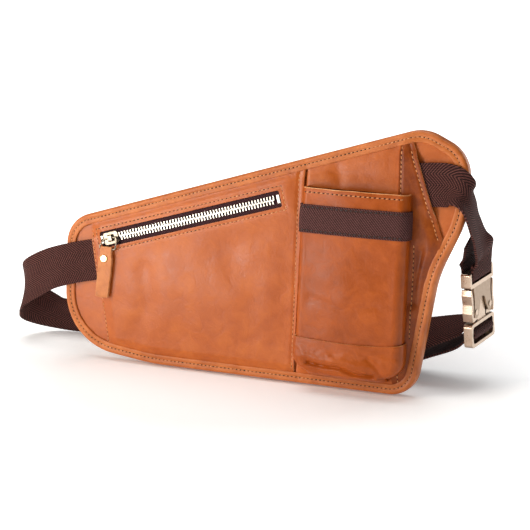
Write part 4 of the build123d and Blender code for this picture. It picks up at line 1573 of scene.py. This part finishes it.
# ------------------------------------------------------------------ straps
@dataclass
class Straps:
    """The webbing: a short right strap folded through the buckle, and the long waist strap."""

    frames: PackFrames
    finishes: Finishes
    width: float = 31.0
    webbing: float = 1.6
    scallop_mm: float = 2.7
    scallop_depth: float = 0.24

    def stations(self, rows: Sequence[tuple]) -> list[Station]:
        """Turn rows of a frame's name, a place and a width direction into row points.

        Args:
            rows: Each a frame letter (p panel, s seat, b buckle), three coordinates and a direction.

        Returns:
            Points in metres and width directions.
        """
        panel_up = self.frames.panel.y
        across = self.frames.buckle.x
        found = []
        for letter, place, direction in rows:
            frame = {"p": self.frames.panel, "s": self.frames.seat, "b": self.frames.buckle}[letter]
            if letter == "b":
                width = across
            elif len(direction) == 1:
                width = panel_up + Vector((direction[0], 0.0, 0.0))
            else:
                width = Vector(direction)
            found.append((frame.at(*place), width.normalized()))
        return found

    @staticmethod
    def smooth(stations: Sequence[Station], steps: int) -> list[Station]:
        """A smooth run through the stations."""
        found = []
        for i in range(len(stations) - 1):
            last = min(i + 2, len(stations) - 1)
            four = [stations[max(i - 1, 0)], stations[i], stations[i + 1], stations[last]]
            for step in range(steps):
                t = step / steps
                weights = ((-t + 2 * t**2 - t**3) / 2, (2 - 5 * t**2 + 3 * t**3) / 2,
                           (t + 4 * t**2 - 3 * t**3) / 2, (-(t**2) + t**3) / 2)
                found.append(tuple(sum((p[k] * w for p, w in zip(four, weights)), Vector()) for k in (0, 1)))
        found.append(stations[-1])
        return found

    def strap(self, stations: Sequence[Station], name: str, gather: Point2 = (0.0, 0.0)) -> bpy.types.Object:
        """Weave a strap along its stations.

        Args:
            stations: Points and width directions.
            name: The piece's name.
            gather: Length at which the strap is bunched over an edge, and the share of its width lost there.

        Returns:
            The piece.
        """
        coarse = self.smooth(stations, 4)
        turned = []
        for i, (point, across) in enumerate(coarse):
            along = (coarse[min(i + 1, len(coarse) - 1)][0] - coarse[max(i - 1, 0)][0]).normalized()
            turned.append((point, (across - along * across.dot(along)).normalized()))
        line = self.smooth(turned, 8)
        lengths = [0.0]
        for (a, _), (b, _) in zip(line, line[1:]):
            lengths.append(lengths[-1] + (b - a).length)
        total = lengths[-1]
        rows = int(total / (0.9 * MM))
        runs = []
        leg = 0
        for i in range(rows + 1):
            reach = i * total / rows
            while leg < len(lengths) - 2 and reach > lengths[leg + 1]:
                leg += 1
            share = (reach - lengths[leg]) / max(lengths[leg + 1] - lengths[leg], 1e-9)
            point = line[leg][0].lerp(line[leg + 1][0], share)
            across = line[leg][1].lerp(line[leg + 1][1], share)
            runs.append((point, across, reach))
        columns = 14

        def place(s: float, t: float) -> Vector:
            """One vertex of the strap's middle layer."""
            i = round(s * rows)
            point, across, reach = runs[i]
            along = (runs[min(i + 1, rows)][0] - runs[max(i - 1, 0)][0]).normalized()
            side = across.normalized()
            out = along.cross(side).normalized()
            reach_mm = reach / MM
            side_share = 2.0 * t - 1.0
            scallop = self.scallop_depth * math.sin(math.tau * reach_mm / self.scallop_mm)
            scallop *= abs(side_share) > 0.99
            bunched = bump(reach_mm - gather[0], 9.0) * gather[1]
            half = (self.width / 2 + scallop * 0.5 - 0.15) * (1.0 - bunched)
            cup = 0.25 * (1.0 - side_share**2) + 0.12 * ripple(reach_mm, side_share * 8.0, 14.0, 2.2)
            cup += 3.0 * bunched * math.sin(side_share * 5.0)
            return point + side * (side_share * half * MM) + out * (cup * MM)

        bm = mapped_grid(rows, columns, place, lambda s, t: (s * total, t * self.width * MM))
        return make_piece(
            bm, name, [self.finishes.webbing], thickness=self.webbing - 0.1, offset=0.0, edge_round=0.3,
            sharp_degrees=60.0,
        )

    def build(self) -> None:
        """Make both straps."""
        right = self.stations((
            ("p", (117, 150.0, 2.0), (0.0,)), ("p", (129, 151.4, 2.1), (0.02,)),
            ("p", (139.5, 151.6, 2.8), (0.12, 0.10, 0.98)), ("p", (146.5, 149.6, 3.5), (0.14, 0.26, 0.95)),
            ("s", (151.8, 12.6, 143.5), (0.0, 0.66, 0.75)), ("s", (154.8, 17.6, 133.0), (-0.06, 0.96, 0.24)),
            ("s", (155.8, 24.6, 122.0), (-0.10, 0.99, 0.0)), ("s", (156.6, 31.5, 111.5), (-0.06, 0.99, 0.05)),
            ("s", (157.2, 39.0, 101.0), (0.02, 0.99, 0.10)),
            ("b", (0, 63.0, 4.3), ()), ("b", (0, 57.0, 3.8), ()), ("b", (0, 52.4, 3.6), ()),
            ("b", (0, 49.3, 2.9), ()), ("b", (0, 48.2, 0.0), ()), ("b", (0, 49.3, -2.9), ()),
            ("b", (0, 52.4, -3.7), ()), ("b", (0, 57.0, -4.1), ()),
            ("b", (0, 63.0, -4.6), ()), ("s", (149.2, 43.0, 101.5), (0.10, 0.98, 0.12)),
            ("s", (151.2, 36.5, 112.5), (0.05, 0.98, 0.08)),
        ))
        settle(self.strap(right, "right_webbing_strap", gather=(37.0, 0.22)), PACK, "webbing", "strap_right")

        waist = self.stations((
            ("p", (-126, 75.0, 2.0), (0.20,)), ("p", (-140, 72.0, 2.1), (0.20,)),
            ("p", (-157, 67.5, 2.7), (0.18,)),
            ("p", (-173, 61.6, 1.0), (0.20,)), ("s", (-189, 8.6, 51.5), (0.20, -0.02, 0.97)),
            ("s", (-199.0, 17.0, 40.0), (0.14, -0.03, 0.98)),
            ("s", (-201.0, 31.0, 26.5), (0.08, -0.18, 0.97)),
            ("s", (-191, 43.5, 16.8), (0.05, -0.32, 0.94)), ("s", (-175, 48.5, 13.3), (0.0, -0.37, 0.93)),
            ("s", (-150, 50.0, 13.3), (0.0, -0.34, 0.94)), ("s", (-115, 51.0, 13.6), (0.0, -0.25, 0.97)),
            ("s", (-60, 51.5, 14.0), (0.0, -0.10, 0.99)), ("s", (-5, 50.0, 14.1), (0.0, 0.10, 0.99)),
            ("s", (35, 47.5, 15.8), (0.0, 0.32, 0.95)), ("s", (65, 46.0, 20.0), (0.0, 0.52, 0.85)),
            ("s", (93, 46.0, 26.0), (0.0, 0.72, 0.70)), ("s", (118, 47.5, 33.5), (-0.10, 0.86, 0.48)),
            ("s", (140, 49.5, 40.6), (0.04, 0.95, 0.28)),
            ("b", (0, 12.6, -5.0), ()), ("b", (0, 12.3, -1.2), ()), ("b", (0, 11.2, 2.0), ()),
            ("b", (0, 8.7, 3.3), ()), ("b", (0, 6.2, 2.0), ()), ("b", (0, 5.1, -1.2), ()),
            ("b", (0, 3.9, -5.0), ()),
            ("s", (140, 49.8, 28.4), (0.04, 0.98, 0.12)), ("s", (118, 50.5, 18.6), (0.0, 0.99, 0.10)),
            ("s", (96, 51.5, 8.6), (0.0, 0.99, 0.06)), ("s", (76, 52.5, 1.6), (0.0, 1.0, 0.0)),
            ("s", (58, 53.0, -0.5), (0.0, 1.0, 0.0)), ("s", (44, 53.0, -0.65), (0.0, 1.0, 0.0)),
        ))
        piece = self.strap(waist, "waist_webbing_strap")
        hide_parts("waist_strap", "strap_bar_loop", "strap_tail")
        seat = self.frames.seat
        seat.at(96.0, 50.0, 30.0)
        seat.at(141.0, 50.0, 30.0)
        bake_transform(piece)
        LOG.info("piece %s bends from pack to male_buckle", piece.name)


# ------------------------------------------------------------------ buckle
@dataclass
class Buckle:
    """The side-release buckle, whose metal parts are the CAD's own."""

    finishes: Finishes

    def build(self) -> None:
        """Plate the buckle's parts."""
        for node in ("buckle_female_body", "lever_pins", "lever_left", "lever_right", "buckle_male"):
            dress(node, self.finishes.buckle)
        # the face plates wear the darker copy of the plating: painted shade
        for node in ("buckle_front_plate", "buckle_back_plate"):
            dress(node, self.finishes.plate)
        dress("lever_springs", self.finishes.spring)


# ------------------------------------------------------------------ room
@dataclass
class Studio:
    """A pale floor, soft boxes and the camera."""

    frames: PackFrames
    lens: float = 120.1
    azimuth: float = 22.0
    elevation: float = 15.0
    distance: float = 1.3
    aim: tuple[float, float, float] = (-3.15, 28.59, 76.56)
    sensor_mm: float = 36.0
    floor_half: float = 1.2
    floor_drop: float = 0.0004
    sky_light: float = 0.14
    sky_seen: float = 1.3

    def build(self) -> None:
        """Make the floor, the lights, the sky and the camera."""
        self.build_floor()
        self.build_lights()
        self.build_camera()

    def build_floor(self) -> None:
        """A wide white sheet under the pack, which glows more with distance so that it meets the sky."""
        material, tree, shader = new_material("white_paper_floor")
        place = add_node(tree, "TexCoord").outputs["Object"]
        tooth = add_node(
            tree, "TexNoise", {"Vector": place, "Scale": per_metre(6.0), "Detail": 3.0}
        ).outputs[0]
        colour = ramp(tree, tooth, [(0.3, "#f8f8f8"), (0.7, "#ffffff")])
        tree.links.new(colour, shader.inputs["Base Color"])
        shader.inputs["Roughness"].default_value = 0.9
        shader.inputs["Emission Color"].default_value = srgb("#ffffff")
        reach = add_node(tree, "VectorMath", {0: place}, operation="LENGTH").outputs["Value"]
        glow = add_node(tree, "MapRange", {0: reach, 1: 0.13, 2: 0.38, 3: 0.1, 4: 0.85}).outputs[0]
        tree.links.new(glow, shader.inputs["Emission Strength"])
        bm = bmesh.new()
        bmesh.ops.create_grid(bm, x_segments=4, y_segments=4, size=self.floor_half)
        bmesh.ops.translate(bm, verts=bm.verts, vec=(0.0, 0.0, -self.floor_drop))
        floor = make_piece(bm, "studio_floor", [material])

    def area_light(
        self, name: str, place: Vector, size: Point2, watts: float, colour: str = "#ffffff"
    ) -> None:
        """A soft box that looks at the pack."""
        data = bpy.data.lights.new(name, "AREA")
        data.shape = "RECTANGLE"
        data.size, data.size_y = size
        data.energy = watts
        data.color = srgb(colour)[:3]
        light = bpy.data.objects.new(name, data)
        bpy.context.scene.collection.objects.link(light)
        light.location = place
        light.rotation_euler = (self.target() - place).to_track_quat("-Z", "Y").to_euler()

    def build_lights(self) -> None:
        """Key and sheen from the left front, a rim from behind, a weak fill, a top box and a white sky."""
        self.area_light("key_box", Vector((-1.2, -1.2, 0.75)), (0.6, 1.0), 22.0, "#fff6ea")
        self.area_light("sheen_box", Vector((-0.76, -1.4, 0.1)), (0.3, 0.4), 7.5, "#fffaf4")
        self.area_light("rim_box", Vector((0.75, 1.5, 0.35)), (0.9, 0.8), 6.0)
        self.area_light("fill_box", Vector((0.9, -1.5, 1.3)), (0.4, 0.4), 0.6)
        self.area_light("top_box", Vector((-0.2, 0.1, 1.7)), (1.8, 1.2), 19.0)
        world = bpy.data.worlds.new("studio_sky")
        bpy.context.scene.world = world
        world.use_nodes = True
        tree = world.node_tree
        background = tree.nodes["Background"]
        seen = add_node(tree, "Background", {"Color": srgb("#ffffff"), "Strength": self.sky_seen})
        background.inputs["Color"].default_value = srgb("#ffffff")
        background.inputs["Strength"].default_value = self.sky_light
        path = add_node(tree, "LightPath")
        mixed = add_node(
            tree, "MixShader",
            {0: path.outputs["Is Camera Ray"], 1: background.outputs[0], 2: seen.outputs[0]},
        )
        tree.links.new(mixed.outputs[0], tree.nodes["World Output"].inputs["Surface"])
        bpy.context.scene.view_settings.view_transform = "Standard"

    def target(self) -> Vector:
        """The point that the camera looks at."""
        return self.frames.seat.at(*self.aim)

    def build_camera(self) -> None:
        """The camera."""
        data = bpy.data.cameras.new("camera")
        data.lens = self.lens
        data.sensor_width = self.sensor_mm
        camera = bpy.data.objects.new("camera", data)
        bpy.context.scene.collection.objects.link(camera)
        turn, lift = math.radians(self.azimuth), math.radians(self.elevation)
        back = Vector((math.sin(turn) * math.cos(lift), -math.cos(turn) * math.cos(lift), math.sin(lift)))
        camera.location = self.target() + back * self.distance
        camera.rotation_euler = (-back).to_track_quat("-Z", "Y").to_euler()
        bpy.context.scene.camera = camera


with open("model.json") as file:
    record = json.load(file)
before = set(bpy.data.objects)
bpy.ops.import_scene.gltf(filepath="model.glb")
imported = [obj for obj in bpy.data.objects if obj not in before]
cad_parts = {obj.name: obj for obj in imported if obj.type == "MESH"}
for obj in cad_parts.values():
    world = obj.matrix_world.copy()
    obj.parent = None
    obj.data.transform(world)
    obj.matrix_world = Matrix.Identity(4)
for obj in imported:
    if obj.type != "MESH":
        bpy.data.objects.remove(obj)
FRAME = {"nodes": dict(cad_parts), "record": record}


def main() -> None:
    """Build every sub-assembly in order."""
    logging.basicConfig(level=logging.INFO, format="%(message)s")
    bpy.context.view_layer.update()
    frames = PackFrames.from_record(FRAME["record"])
    finishes = Finishes()
    body = PackBody(frames, finishes, Outline.trace())
    body.build()
    Zips(frames, finishes, body).build()
    PhonePocket(frames, finishes, body).build()
    Straps(frames, finishes).build()
    Buckle(finishes).build()
    Studio(frames).build()


if __name__ == "__main__":
    main()
